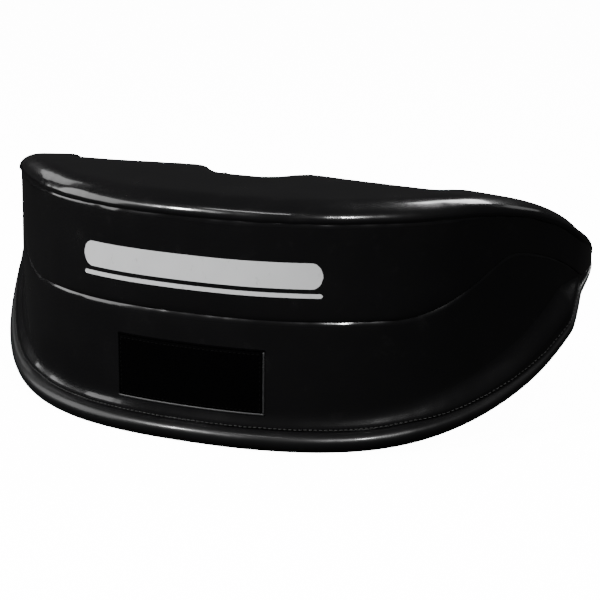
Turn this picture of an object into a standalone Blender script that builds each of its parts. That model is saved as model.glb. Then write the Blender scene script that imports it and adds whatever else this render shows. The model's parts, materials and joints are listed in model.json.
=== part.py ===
"""Groin protector: a half-moon padded bumper with a cup insert and an open waist belt.

Units are metres. +Z is up, the front faces -Y and the wearer stands at +Y.
The origin is the middle of the flat part of the base.
"""
import bpy
import bmesh
from math import atan2, copysign, cos, exp, hypot, pi, radians, sin, sqrt
from mathutils import Matrix, Vector

# Plan of the front wall: one superellipse from wing end to wing end
HALF_WIDTH = 0.1844
PLAN_Y = 0.150
FRONT_REACH = 0.2052
PLAN_POWER = 2.38
TIP_ANGLE = radians(88)
WING_END = 0.95
WING_SPREAD = 0.0263
SPREAD_START = 0.3

# Heights above the base
TOP = 0.157
TIP_HEIGHT = 0.0965
TOP_DROOP_START = 0.62
SWEEP_HEIGHT = 0.0816
SWEEP_START = 0.223
SWEEP_POWER = 2.64
END_ROUND_START = 0.75
ROLL_HEIGHT = 0.011
ROLL_SETBACK = 0.013
ROLL_CURVE = ((0.002, 0.0045), (0.006, 0.0008))
MID_SEAM = 0.0838
MID_SEAM_LIFT = 0.134
MID_SEAM_START = 0.435
SEAM_BAND = 0.022

# Flare of the wall just above the bead
FLARE = 0.0024
WING_FLARE = 0.0072
FLARE_END = 0.9
FLARE_RISE = 0.008
WING_RISE = 0.010
FLARE_SLOPE = 0.55

# Body side
BACK_Y = 0.056
BACK_BOW = 0.026
NOTCH_DEPTH = 0.027
NOTCH_WIDTH = 0.049
WING_THICKNESS = 0.030

# Layers, from the outside in
COVER = 0.0016
GAP = 0.0010
SEAM_GAP = 0.0003
SOFT_LAYER = 0.010
FIRM_LAYER = 0.006
PLATE = 0.0015
PLATE_LOW = 0.012
PLATE_DOWN = 0.020
PLATE_END = 0.6
TOP_LAYER = 0.006
CORE_END = 0.66
BEAD_RADIUS = 0.0065
BEAD_TUCK = 0.0052
BEAD_TUCK_START = 0.478
BEAD_WALL = 0.0014
BEAD_CLEAR = 0.0004

# Hook-and-loop patch
PATCH_U = 0.1476
PATCH_BOTTOM = 0.0218
PATCH_HEIGHT = 0.043
PATCH_THICKNESS = 0.0012

# Cup insert
CUP_HALF_WIDTH = 0.036
CUP_HALF_HEIGHT = 0.044
CUP_DEPTH = 0.022
CUP_FLANGE = 0.006
CUP_WALL = 0.0025
LINER_THICKNESS = 0.003
CUP_Z = 0.070
CUP_Y = 0.0575
POCKET_THICKNESS = 0.001
POCKET_FLAT = 0.045
POCKET_HEM = 0.034
POCKET_BOTTOM = 0.016
POCKET_TOP = 0.098

# Waist belt
BELT_HEIGHT = 0.038
BELT_Z = 0.102
BELT_THICKNESS = 0.0024
BELT_RADIUS = 0.165
BELT_CENTRE = Vector((0.0, 0.075))
BELT_START = radians(59)
BELT_FINISH = radians(8)
WIRE_RADIUS = 0.002
EYE_RADIUS = 0.0026
RING_SPAN = 0.014
RING_INNER_HEIGHT = 0.044
RING_CORNER = 0.004
RING_TURN = radians(12)
TAB_END_U = 0.85
CLOSURE_START = radians(25)
CLOSURE_THICKNESS = 0.001
SLIDER_ANGLE = radians(38)
SLIDER_LENGTH = 0.014
SLIDER_RIM = 0.0045
SLIDER_SLOT = 0.0020

HALF_STATIONS = 20
SHARP_ANGLE = radians(30)


# Geometry of the pad

def ramp(u, start):
    return min(max((abs(u) - start) / (1 - start), 0.0), 1.0)


def softer_max(a, b, softness):
    return 0.5 * (a + b + hypot(a - b, softness))


def plan(u):
    """Point of the front wall in plan; u runs from -1 to 1, wing end to wing end."""
    angle = u * TIP_ANGLE
    power = 2 / PLAN_POWER
    x = HALF_WIDTH * copysign(abs(sin(angle)) ** power, u)
    return Vector((x, PLAN_Y - FRONT_REACH * cos(angle) ** power))


def outward(u):
    step = 0.002
    along = plan(u + step) - plan(u - step)
    return Vector((along.y, -along.x)).normalized()


def top(u):
    return TOP - (TOP - TIP_HEIGHT) * (1 - sqrt(1 - ramp(u, TOP_DROOP_START) ** 2))


def bottom(u):
    sweep = SWEEP_HEIGHT * ramp(u, SWEEP_START) ** SWEEP_POWER
    return sweep + (TIP_HEIGHT - sweep) * (1 - sqrt(1 - ramp(u, END_ROUND_START) ** 2))


def roll_seam(u):
    return top(u) - ROLL_HEIGHT


def mid_seam(u):
    rising = MID_SEAM + MID_SEAM_LIFT * ramp(u, MID_SEAM_START) ** 2
    seam = -softer_max(-rising, SEAM_BAND - roll_seam(u), 0.008)
    return max(seam, bottom(u) + 2 * BEAD_RADIUS + 0.004)


def wall(u, z, inset=0.0):
    """Point of the upright front wall at height z, moved inward by inset."""
    spread = WING_SPREAD * ramp(u, SPREAD_START) ** 2
    flat = plan(u) + outward(u) * (spread - inset)
    return Vector((flat.x, flat.y, z))


def over_bead(u):
    return bottom(u) + 2 * BEAD_RADIUS + BEAD_CLEAR


def knee(u):
    """Height at which the flare above the bead begins."""
    rise = FLARE_RISE + WING_RISE * ramp(u, SPREAD_START)
    return over_bead(u) + min(rise, (mid_seam(u) - over_bead(u)) / 2)


def full_flare(u):
    reach = FLARE + WING_FLARE * ramp(u, SPREAD_START) * (1 - ramp(u, FLARE_END))
    return min(reach, FLARE_SLOPE * (knee(u) - over_bead(u)))


def flared_wall(u, z, inset=0.0):
    """Point of the outer wall, which turns out from the knee down to the bead."""
    share = min(max((knee(u) - z) / (knee(u) - over_bead(u)), 0.0), 1.0)
    return wall(u, z, inset - share * full_flare(u))


def thickness(u):
    """Plan distance from the front wall to the body side."""
    front = plan(u)
    normal = outward(u)
    line = BACK_Y - BACK_BOW * (front.x / HALF_WIDTH) ** 2
    deep = (line - front.y) / max(-normal.y, 0.2)
    notch = NOTCH_DEPTH * exp(-abs(front.x / NOTCH_WIDTH) ** 3)
    return softer_max(deep, WING_THICKNESS, 0.008) - notch


def body_plan(u):
    return plan(u) - outward(u) * thickness(u)


def body_side(u, z, inset=0.0):
    """Point of the body side at height z, moved into the pad by inset."""
    step = 0.002
    along = body_plan(u + step) - body_plan(u - step)
    flat = body_plan(u) + Vector((along.y, -along.x)).normalized() * inset
    return Vector((flat.x, flat.y, z))


def stations(first=-WING_END, last=WING_END):
    """Stations that every layer shares, cut off at first and last."""
    shares = [i / HALF_STATIONS for i in range(-HALF_STATIONS, HALF_STATIONS + 1)]
    shared = [WING_END * (0.75 * share + 0.25 * share * abs(share)) for share in shares]
    return [first] + [u for u in shared if first + 0.004 < u < last - 0.004] + [last]


def steepness(height, u):
    """How much longer a vertical cut through a sloping layer is than its thickness."""
    step = 0.002
    rise = height(u + step) - height(u - step)
    return hypot(1, rise / (plan(u + step) - plan(u - step)).length)


def below_top(u, depth):
    return top(u) - depth * steepness(top, u)


def above_bottom(u, depth):
    return bottom(u) + depth * steepness(bottom, u)


# Building blocks

def collection():
    group = bpy.data.collections.new("groin_protector")
    bpy.context.scene.collection.children.link(group)
    return group


def material(name, colour, roughness, metallic=0.0):
    look = bpy.data.materials.new(name)
    look.use_nodes = True
    shader = look.node_tree.nodes["Principled BSDF"]
    shader.inputs["Base Color"].default_value = (*colour, 1)
    shader.inputs["Roughness"].default_value = roughness
    shader.inputs["Metallic"].default_value = metallic
    return look


def add(name, mesh, look, parent=None):
    mesh.materials.clear()
    mesh.materials.append(look)
    mesh.shade_smooth()
    mesh.set_sharp_from_angle(angle=SHARP_ANGLE)
    piece = bpy.data.objects.new(name, mesh)
    GROUP.objects.link(piece)
    if parent:
        piece.parent = parent
        piece.matrix_parent_inverse = parent.matrix_world.inverted()
    return piece


def loft(name, rings, look, parent=None):
    """Closed solid through rings of matching points, capped at both ends."""
    bm = bmesh.new()
    loops = [[bm.verts.new(point) for point in ring] for ring in rings]
    count = len(rings[0])
    for near, far in zip(loops, loops[1:]):
        for i in range(count):
            j = (i + 1) % count
            bm.faces.new((near[i], near[j], far[j], far[i]))
    bm.faces.new(loops[0])
    bm.faces.new(loops[-1])
    bmesh.ops.recalc_face_normals(bm, faces=bm.faces)
    mesh = bpy.data.meshes.new(name)
    bm.to_mesh(mesh)
    bm.free()
    return add(name, mesh, look, parent)


def sheet(name, columns, thick, outside, look, parent=None, closed=False):
    """Open grid with Solidify; outside is a vector that the first face looks along."""
    bm = bmesh.new()
    grid = [[bm.verts.new(point) for point in column] for column in columns]
    rows = len(columns[0])
    for near, far in zip(grid, grid[1:]):
        for i in range(rows if closed else rows - 1):
            j = (i + 1) % rows
            bm.faces.new((near[i], near[j], far[j], far[i]))
    bm.normal_update()
    bm.faces.ensure_lookup_table()
    if bm.faces[0].normal.dot(outside) < 0:
        bmesh.ops.reverse_faces(bm, faces=bm.faces)
    mesh = bpy.data.meshes.new(name)
    bm.to_mesh(mesh)
    bm.free()
    piece = add(name, mesh, look, parent)
    shell = piece.modifiers.new("Cover thickness", "SOLIDIFY")
    shell.thickness = thick
    shell.offset = -1
    return piece


def flat_outline(name, outlines, height, middle, look, parent=None):
    """Plan outlines (the first solid, the rest holes) extruded over height about middle."""
    curve = bpy.data.curves.new(name, "CURVE")
    curve.dimensions = "2D"
    curve.fill_mode = "BOTH"
    curve.extrude = height / 2
    for outline in outlines:
        spline = curve.splines.new("POLY")
        spline.points.add(len(outline) - 1)
        for point, place in zip(spline.points, outline):
            point.co = (place[0], place[1], 0, 1)
        spline.use_cyclic_u = True
    return from_curve(name, curve, Matrix.Translation((0, 0, middle)), look, parent)


def from_curve(name, curve, matrix, look, parent=None):
    """A curve made into one welded mesh."""
    drawn = bpy.data.objects.new(name + "_curve", curve)
    GROUP.objects.link(drawn)
    drawn.matrix_world = matrix
    bpy.context.view_layer.update()
    graph = bpy.context.evaluated_depsgraph_get()
    mesh = bpy.data.meshes.new_from_object(drawn.evaluated_get(graph))
    mesh.transform(matrix)
    bpy.data.objects.remove(drawn)
    bm = bmesh.new()
    bm.from_mesh(mesh)
    bmesh.ops.remove_doubles(bm, verts=bm.verts, dist=0.00002)
    bmesh.ops.recalc_face_normals(bm, faces=bm.faces)
    bm.to_mesh(mesh)
    bm.free()
    return add(name, mesh, look, parent)


def pivot(name, place):
    """Empty on a joint's axis."""
    empty = bpy.data.objects.new(name, None)
    empty.empty_display_size = 0.02
    empty.location = place
    GROUP.objects.link(empty)
    bpy.context.view_layer.update()
    return empty


# Cover

def make_top_panel():
    columns = []
    for u in stations():
        z = top(u)
        seam = roll_seam(u) + SEAM_GAP
        columns.append([
            body_side(u, z, COVER + 2 * GAP),
            wall(u, z, ROLL_SETBACK),
            *[wall(u, z - down, back) for down, back in ROLL_CURVE],
            wall(u, seam),
        ])
    sheet("top_panel", columns, COVER, Vector((0, 0, 1)), LEATHER)


def make_front_panels():
    upper, lower = [], []
    for u in stations():
        upper.append([wall(u, mid_seam(u) + SEAM_GAP), wall(u, roll_seam(u) - SEAM_GAP)])
        heights = (over_bead(u) + COVER / 2 + BEAD_CLEAR, knee(u), mid_seam(u) - SEAM_GAP)
        lower.append([flared_wall(u, z) for z in heights])
    sheet("upper_front_panel", upper, COVER, Vector((-1, 0, 0)), LEATHER)
    sheet("lower_front_panel", lower, COVER, Vector((-1, 0, 0)), LEATHER)


def bead_inset(u):
    """Plan distance from the front wall to the bead's middle line."""
    return BEAD_TUCK * ramp(u, BEAD_TUCK_START) - full_flare(u)


def bead_ring(u, radius, sides=10):
    centre_z = bottom(u) + BEAD_RADIUS + SEAM_GAP
    ring = []
    for i in range(sides):
        angle = 2 * pi * (i + 0.5) / sides
        inset = radius * cos(angle) + bead_inset(u)
        ring.append(wall(u, centre_z + radius * sin(angle), inset))
    return ring


def make_bead():
    tube = [bead_ring(u, BEAD_RADIUS) for u in stations()]
    first = tube[0][0] + tube[0][1] - tube[0][5] - tube[0][6]
    sheet("bottom_bead", tube, BEAD_WALL, first, LEATHER, closed=True)
    cord_radius = BEAD_RADIUS - BEAD_WALL - 2 * BEAD_CLEAR
    loft("bead_cord", [bead_ring(u, cord_radius) for u in stations()], FOAM)


def make_base_panel():
    columns = []
    for u in stations():
        z = bottom(u)
        columns.append([wall(u, z, BEAD_RADIUS + bead_inset(u)), body_side(u, z, COVER + 2 * GAP)])
    sheet("base_panel", columns, COVER, Vector((0, 0, -1)), BACKING)


def make_back_panel():
    """Body side, turned in at both ends to close the wings."""
    def column(u, place, shift=Vector((0, 0, 0))):
        return [place(u, z) + shift for z in (bottom(u), knee(u), top(u))]

    past_end = Vector((0, COVER + GAP, 0))
    columns = [column(-WING_END, flared_wall, past_end), column(-WING_END, body_side, past_end)]
    columns += [column(u, body_side) for u in stations()[1:-1]]
    columns += [column(WING_END, body_side, past_end), column(WING_END, flared_wall, past_end)]
    sheet("back_panel", columns, COVER, Vector((0, 1, 0)), BACKING)


def make_loop_patch():
    columns = []
    for i in range(9):
        u = PATCH_U * (i / 4 - 1)
        proud = -SEAM_GAP - PATCH_THICKNESS
        columns.append([wall(u, PATCH_BOTTOM, proud),
                        wall(u, PATCH_BOTTOM + PATCH_HEIGHT, proud)])
    sheet("loop_patch", columns, PATCH_THICKNESS, Vector((0, -1, 0)), LOOP_PILE)


# Filling

def layer(name, section, look, first=-WING_END, last=WING_END):
    """Foam layer whose section at each station is a ring of points."""
    loft(name, [section(u) for u in stations(first, last)], look)


def box_section(outer, inner, low, high):
    """Section between two plan lines and two height lines."""
    return lambda u: [outer(u, low(u)), outer(u, high(u)), inner(u, high(u)), inner(u, low(u))]


def inset_wall(distance):
    return lambda u, z: wall(u, z, distance)


def inset_body(distance):
    return lambda u, z: body_side(u, z, distance)


def make_edge_foams():
    skin = COVER + GAP
    roll_back = ROLL_SETBACK - SEAM_GAP

    def roll_section(u):
        z = top(u)
        return [
            wall(u, z - ROLL_HEIGHT, skin + SEAM_GAP),
            wall(u, z - 0.6 * ROLL_HEIGHT, skin + GAP),
            wall(u, z - 0.32 * ROLL_HEIGHT, 2.4 * skin),
            wall(u, z - skin - SEAM_GAP, roll_back),
            wall(u, z - ROLL_HEIGHT, roll_back),
        ]

    layer("roll_foam", roll_section, FOAM)
    top_section = box_section(inset_wall(roll_back + GAP), inset_body(skin),
                              lambda u: below_top(u, skin + TOP_LAYER),
                              lambda u: below_top(u, skin))
    layer("top_foam", top_section, FOAM)


def make_front_layers():
    """Soft, then firm, then the plate that spreads a blow."""
    skin = COVER + GAP
    firm = skin + SOFT_LAYER + GAP
    plate = firm + FIRM_LAYER + GAP
    under_top = COVER + TOP_LAYER + 2 * GAP

    def soft_section(u):
        low = over_bead(u) + 2 * BEAD_CLEAR
        high = roll_seam(u) - GAP
        outer = [flared_wall(u, z, skin) for z in (low, knee(u), high)]
        return outer + [wall(u, high, skin + SOFT_LAYER), wall(u, low, skin + SOFT_LAYER)]

    layer("front_foam", soft_section, FOAM)
    firm_section = box_section(inset_wall(firm), inset_wall(firm + FIRM_LAYER),
                               lambda u: above_bottom(u, skin),
                               lambda u: min(below_top(u, under_top), roll_seam(u) - GAP))
    layer("dense_foam", firm_section, DENSE_FOAM)
    plate_section = box_section(inset_wall(plate), inset_wall(plate + PLATE),
                                lambda u: bottom(u) + PLATE_LOW, lambda u: top(u) - PLATE_DOWN)
    layer("spreader_plate", plate_section, PLATE_PLASTIC, -PLATE_END, PLATE_END)


def make_core():
    """Three stacked slabs in the middle and one filler in each wing."""
    behind = COVER + SOFT_LAYER + FIRM_LAYER + PLATE + 4 * GAP
    skin = COVER + GAP
    under_top = COVER + TOP_LAYER + 2 * GAP

    def level(share, shift):
        def height(u):
            low = above_bottom(u, skin)
            high = below_top(u, under_top)
            return low + (high - low) * share + shift
        return height

    names = ("core_slab_bottom", "core_slab_middle", "core_slab_top")
    for i, name in enumerate(names):
        section = box_section(inset_wall(behind), inset_body(skin),
                              level(i / 3, GAP / 2), level((i + 1) / 3, -GAP / 2))
        layer(name, section, CORE_FOAM, -CORE_END, CORE_END)
    section = box_section(inset_wall(behind), inset_body(skin), level(0, GAP / 2), level(1, -GAP / 2))
    layer("left_wing_foam", section, CORE_FOAM, last=-CORE_END - 0.01)
    layer("right_wing_foam", section, CORE_FOAM, first=CORE_END + 0.01)


# Cup insert and its pocket

def cup_point(ring, angle, shrink):
    """Point of the bowl; ring 0 is the deepest point and ring 1 is the rim."""
    reach = sin(ring * pi / 2)
    depth = (CUP_DEPTH - shrink) * cos(ring * pi / 2)
    x = (CUP_HALF_WIDTH - shrink) * reach * cos(angle)
    z = CUP_Z + (CUP_HALF_HEIGHT - shrink) * reach * sin(angle)
    return Vector((x, CUP_Y - depth, z))


def bowl_mesh(name, shrink, rings, sides, flange):
    """Open bowl, deepest towards the front, with an optional flat flange."""
    bm = bmesh.new()
    pole = bm.verts.new(cup_point(0, 0, shrink))
    loops = []
    for r in range(1, rings + 1):
        loops.append([bm.verts.new(cup_point(r / rings, 2 * pi * i / sides, shrink))
                      for i in range(sides)])
    if flange:
        rim = []
        for vert in loops[-1]:
            offset = vert.co - Vector((0, CUP_Y, CUP_Z))
            rim.append(bm.verts.new(vert.co + offset.normalized() * flange))
        loops.append(rim)
    for i in range(sides):
        bm.faces.new((pole, loops[0][i], loops[0][(i + 1) % sides]))
    for near, far in zip(loops, loops[1:]):
        for i in range(sides):
            j = (i + 1) % sides
            bm.faces.new((near[i], far[i], far[j], near[j]))
    bm.normal_update()
    bm.faces.ensure_lookup_table()
    if bm.faces[0].normal.y > 0:
        bmesh.ops.reverse_faces(bm, faces=bm.faces)
    mesh = bpy.data.meshes.new(name)
    bm.to_mesh(mesh)
    bm.free()
    return mesh


def make_cup():
    slide = pivot("cup_slide", (0, CUP_Y, CUP_Z))
    cup_mesh = bowl_mesh("groin_cup", 0, 5, 20, CUP_FLANGE)
    cup = add("groin_cup", cup_mesh, CUP_PLASTIC, slide)
    shell = cup.modifiers.new("Wall", "SOLIDIFY")
    shell.thickness = CUP_WALL
    shell.offset = -1
    liner_mesh = bowl_mesh("cup_liner", CUP_WALL + 2 * GAP, 5, 20, 0)
    liner = add("cup_liner", liner_mesh, LINER, slide)
    pad = liner.modifiers.new("Pad", "SOLIDIFY")
    pad.thickness = LINER_THICKNESS
    pad.offset = -1


def make_pocket():
    """Cloth pocket across the notch: sewn down at its sides, open at its top."""
    sheet_y = CUP_Y + CUP_WALL + GAP + POCKET_THICKNESS
    flat = [Vector((POCKET_FLAT * share, sheet_y, 0)) for share in (-1, -0.5, 0, 0.5, 1)]
    hem = [u for u in stations() if POCKET_FLAT < body_plan(u).x - GAP < POCKET_FLAT + POCKET_HEM]
    right = [body_side(u, 0, -SEAM_GAP - POCKET_THICKNESS) for u in hem]
    left = [Vector((-place.x, place.y, 0)) for place in reversed(right)]
    columns = [[place + Vector((0, 0, z)) for z in (POCKET_BOTTOM, POCKET_TOP)]
               for place in left + flat + right]
    sheet("cup_pocket", columns, POCKET_THICKNESS, Vector((0, 1, 0)), LINER)


# Belt hardware; side is -1 for left and 1 for right

def belt_point(angle, side, offset=0.0):
    radius = BELT_RADIUS + offset
    return BELT_CENTRE + Vector((side * radius * sin(angle), radius * cos(angle)))


def bar_places(side):
    """Plan places of the ring's two bars: at the belt, then at the tab."""
    belt_bar = belt_point(BELT_START, side)
    along = Vector((side * sin(RING_TURN), -cos(RING_TURN)))
    return belt_bar, belt_bar + along * RING_SPAN


def strap_outlines(path, thick, eye_at=None):
    """Outline of a strap along path, with a round eye about eye_at at its start."""
    half = thick / 2
    mouth = radians(28)
    left, right = [], []
    for i, point in enumerate(path):
        before = path[max(i - 1, 0)]
        after = path[min(i + 1, len(path) - 1)]
        along = (after - before).normalized()
        across = Vector((-along.y, along.x)) * half
        left.append(point + across)
        right.append(point - across)
    outline = left[::-1]
    holes = []
    if eye_at:
        outer = EYE_RADIUS + thick / 2
        start = path[0] - eye_at
        facing = atan2(start.y, start.x)
        steps = 10
        for i in range(steps + 1):
            angle = facing + mouth + (2 * pi - 2 * mouth) * i / steps
            outline.append(eye_at + Vector((cos(angle), sin(angle))) * outer)
        sides = 12
        holes.append([eye_at + Vector((cos(2 * pi * i / sides), sin(2 * pi * i / sides)))
                      * EYE_RADIUS for i in range(sides)])
    return [outline + right] + holes


def arc_path(first, last, side, offset, count):
    return [belt_point(first + (last - first) * i / count, side, offset)
            for i in range(count + 1)]


def make_belt_half(name, side, parent):
    belt_bar, _ = bar_places(side)
    past_eye = (EYE_RADIUS + BELT_THICKNESS) / BELT_RADIUS
    path = arc_path(BELT_START - past_eye, BELT_FINISH, side, 0, 18)
    outlines = strap_outlines(path, BELT_THICKNESS, belt_bar)
    flat_outline(name, outlines, BELT_HEIGHT, BELT_Z, WEBBING, parent)


def make_closure_patch(name, side, offset, parent):
    path = arc_path(CLOSURE_START, BELT_FINISH + radians(1), side, offset, 6)
    outlines = strap_outlines(path, CLOSURE_THICKNESS)
    flat_outline(name, outlines, BELT_HEIGHT - 0.004, BELT_Z, LOOP_PILE, parent)


def make_anchor(name, side):
    """Webbing tab: lies on the wing's body side and folds round the ring's bar."""
    _, tab_bar = bar_places(side)
    clear = -BELT_THICKNESS / 2 - 2 * SEAM_GAP
    end = body_side(side * TAB_END_U, 0, clear).to_2d()
    near = body_side(side * WING_END, 0, clear).to_2d()
    first = tab_bar + (near - tab_bar).normalized() * (EYE_RADIUS + BELT_THICKNESS * 0.45)
    middle = body_side(side * (TAB_END_U + WING_END) / 2, 0, clear).to_2d()
    outlines = strap_outlines([first, near, middle, end], BELT_THICKNESS, tab_bar)
    flat_outline(name, outlines, BELT_HEIGHT, BELT_Z, WEBBING)


def make_ring(name, side, parent):
    """Rectangular wire ring, upright, with rounded corners."""
    belt_bar, tab_bar = bar_places(side)
    half = RING_INNER_HEIGHT / 2 + WIRE_RADIUS
    centre = (belt_bar + tab_bar) / 2
    across = (tab_bar - belt_bar).normalized()
    places = []
    for quarter, (a, b) in enumerate(((1, 1), (-1, 1), (-1, -1), (1, -1))):
        for step in range(4):
            angle = (quarter + step / 3) * pi / 2
            s = a * (RING_SPAN / 2 - RING_CORNER) + RING_CORNER * cos(angle)
            t = b * (half - RING_CORNER) + RING_CORNER * sin(angle)
            flat = centre + across * s
            places.append((flat.x, flat.y, BELT_Z + t))
    curve = bpy.data.curves.new(name, "CURVE")
    curve.dimensions = "3D"
    curve.bevel_depth = WIRE_RADIUS
    curve.bevel_resolution = 1
    spline = curve.splines.new("POLY")
    spline.points.add(len(places) - 1)
    for point, place in zip(spline.points, places):
        point.co = (*place, 1)
    spline.use_cyclic_u = True
    from_curve(name, curve, Matrix.Identity(4), STEEL, parent)


def make_slider(parent):
    """Flat plastic loop round the left half of the belt."""
    half = BELT_HEIGHT / 2
    outlines = []
    for x, y in ((SLIDER_RIM, half + SLIDER_RIM), (SLIDER_SLOT, half + GAP)):
        outlines.append([(x, y), (-x, y), (-x, -y), (x, -y)])
    curve = bpy.data.curves.new("belt_slider", "CURVE")
    curve.dimensions = "2D"
    curve.fill_mode = "BOTH"
    curve.extrude = SLIDER_LENGTH / 2
    for outline in outlines:
        spline = curve.splines.new("POLY")
        spline.points.add(3)
        for point, place in zip(spline.points, outline):
            point.co = (*place, 0, 1)
        spline.use_cyclic_u = True
    place = belt_point(SLIDER_ANGLE, -1)
    radial = (place - BELT_CENTRE).normalized()
    matrix = Matrix((
        (radial.x, 0, radial.y, place.x),
        (radial.y, 0, -radial.x, place.y),
        (0, 1, 0, BELT_Z),
        (0, 0, 0, 1),
    ))
    from_curve("belt_slider", curve, matrix, CUP_PLASTIC, parent)


def make_belt():
    for side, word in ((-1, "left"), (1, "right")):
        belt_bar, tab_bar = bar_places(side)
        make_anchor(word + "_anchor", side)
        ring_pivot = pivot(word + "_ring_pivot", (tab_bar.x, tab_bar.y, BELT_Z))
        make_ring(word + "_ring", side, ring_pivot)
        belt_pivot = pivot(word + "_belt_pivot", (belt_bar.x, belt_bar.y, BELT_Z))
        belt_pivot.parent = ring_pivot
        belt_pivot.matrix_parent_inverse = ring_pivot.matrix_world.inverted()
        make_belt_half(word + "_belt", side, belt_pivot)
        clear = (BELT_THICKNESS + CLOSURE_THICKNESS) / 2 + SEAM_GAP
        if side < 0:
            make_closure_patch("belt_loop_strip", side, clear, belt_pivot)
            track = pivot("slider_track", (BELT_CENTRE.x, BELT_CENTRE.y, BELT_Z))
            make_slider(track)
        else:
            make_closure_patch("belt_hook_strip", side, -clear, belt_pivot)


for item in list(bpy.data.objects):
    bpy.data.objects.remove(item)

GROUP = collection()
LEATHER = material("synthetic_leather", (0.012, 0.012, 0.013), 0.28)
BACKING = material("backing_cloth", (0.016, 0.016, 0.017), 0.75)
LOOP_PILE = material("loop_pile", (0.006, 0.006, 0.006), 0.95)
FOAM = material("soft_foam", (0.75, 0.73, 0.66), 0.9)
DENSE_FOAM = material("dense_foam", (0.10, 0.11, 0.13), 0.85)
CORE_FOAM = material("core_foam", (0.55, 0.56, 0.58), 0.9)
PLATE_PLASTIC = material("plate_plastic", (0.80, 0.80, 0.78), 0.45)
CUP_PLASTIC = material("moulded_plastic", (0.03, 0.03, 0.032), 0.4)
LINER = material("liner_cloth", (0.02, 0.02, 0.022), 0.85)
WEBBING = material("webbing", (0.014, 0.014, 0.015), 0.7)
STEEL = material("plated_steel", (0.62, 0.62, 0.63), 0.22, 1.0)

make_top_panel()
make_front_panels()
make_bead()
make_base_panel()
make_back_panel()
make_loop_patch()
make_edge_foams()
make_front_layers()
make_core()
make_cup()
make_pocket()
make_belt()
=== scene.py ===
"""Looks of the groin protector: sewn leather covers, patch, webbing belt, cup and foams."""
import json
from math import atan2, copysign, cos, exp, hypot, pi, radians, sin, sqrt, tanh

import bmesh
import bpy
from mathutils import Matrix, Vector, noise


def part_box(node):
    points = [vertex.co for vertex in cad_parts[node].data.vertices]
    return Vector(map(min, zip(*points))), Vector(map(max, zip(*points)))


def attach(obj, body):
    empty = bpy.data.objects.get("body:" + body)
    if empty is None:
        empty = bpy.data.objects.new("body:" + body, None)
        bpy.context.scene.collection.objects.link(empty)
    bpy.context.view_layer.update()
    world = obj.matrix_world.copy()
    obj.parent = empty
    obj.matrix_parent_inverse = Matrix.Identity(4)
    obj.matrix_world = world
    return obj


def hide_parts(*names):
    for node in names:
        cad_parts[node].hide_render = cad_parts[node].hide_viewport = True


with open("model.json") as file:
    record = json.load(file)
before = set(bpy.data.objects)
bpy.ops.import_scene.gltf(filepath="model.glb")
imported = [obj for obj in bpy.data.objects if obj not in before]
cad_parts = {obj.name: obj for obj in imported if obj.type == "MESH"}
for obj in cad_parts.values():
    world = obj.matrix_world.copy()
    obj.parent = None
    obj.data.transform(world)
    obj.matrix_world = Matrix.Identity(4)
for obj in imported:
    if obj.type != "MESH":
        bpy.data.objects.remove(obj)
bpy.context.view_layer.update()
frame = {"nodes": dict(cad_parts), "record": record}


def box_low(node):
    return Vector(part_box(node)[0])


def box_high(node):
    return Vector(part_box(node)[1])


def box_size(node):
    return box_high(node) - box_low(node)


def joint(name):
    return next(item for item in frame["record"]["behaviour"]["joints"] if item["name"] == name)


# Plan of the front wall: one superellipse from wing end to wing end
HALF_WIDTH = 0.1844
PLAN_Y = 0.150
FRONT_REACH = 0.2052
PLAN_POWER = 2.38
TIP_ANGLE = radians(88)
FULL_END = 0.95
WING_SPREAD = 0.0263
SPREAD_START = 0.3
NOSE_REACH = 0.010
NOSE_INSET = 0.005
NOSE_POWER = 2.5

# Heights
TOP = box_high("top_panel").z
TIP_HEIGHT = 0.0965
DROOP_START = 0.62
SWEEP_HEIGHT = 0.0816
SWEEP_START = 0.223
SWEEP_POWER = 2.64
END_ROUND_START = 0.75
ROLL_HEIGHT = 0.0118
ROLL_SETBACK = 0.016
ROLL_OVERHANG = 0.0014
ROLL_SHARE = 0.42
ROLL_ROOM = 0.45
TUCK_SHARES = (0.35, 0.7, 0.9)
ROLL_POWER = 0.92
ROLL_DROP = 0.0098
MID_SEAM = 0.0838
MID_SEAM_LIFT = 0.134
MID_SEAM_START = 0.435
SEAM_BAND = 0.022
FULL_HEIGHT = 0.046

# Body side
BACK_Y = 0.056
BACK_BOW = 0.026
NOTCH_DEPTH = 0.027
NOTCH_WIDTH = 0.049
WING_THICKNESS = 0.030
LEAST_FACING = 0.2
EDGE_RADIUS = 0.0035
EDGE_SHARE = 0.3
SOFTNESS = 0.008

# Bead and the flare above it
BEAD_RADIUS = 0.0064
BEAD_PROUD = 0.0065
BEAD_TAPER_START = 0.478
BEAD_THINNING = 0.68
PROUD_THINNING = 0.8
BEAD_START = radians(72)
BEAD_SEAM_GAP = 0.0004
FLARE_FOOT_GAP = 0.0006
MID_SEAM_CLEAR = 0.004
FLARE = 0.0030
WING_FLARE = 0.0072
FLARE_END = 0.9
FLARE_RISE = 0.008
WING_RISE = 0.010
FLARE_SLOPE = 0.55
SEAM_DEPTH = 0.0011
ROLL_SEAM_DEPTH = 0.0001
MID_SEAM_DEPTH = 0.0006
BASE_SEAM_DEPTH = 2.5 * SEAM_DEPTH
SEAM_LIP = 0.0014
LIP_STEP = 2.4

COVER_THICKNESS = 0.0012
STATION_GAP = 0.0032
TIP_CUTS = (0.07, 0.25, 0.55)
TIP_PUSH = 0.0012
PLAN_STEPS = 1600
PLAN_NUDGE = 0.002
TINY = 1e-6
# Usual length of each panel down the section, and its rows
PANEL_ROWS = {"back": (0.140, 20), "upper": (0.060, 13), "lower": (0.065, 15), "base": (0.090, 16)}
CLOTH_GAP = 0.0064


# ---- small helpers

def clamp(value, low=0.0, high=1.0):
    return min(max(value, low), high)


def smooth(value):
    value = clamp(value)
    return value * value * (3 - 2 * value)


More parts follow.
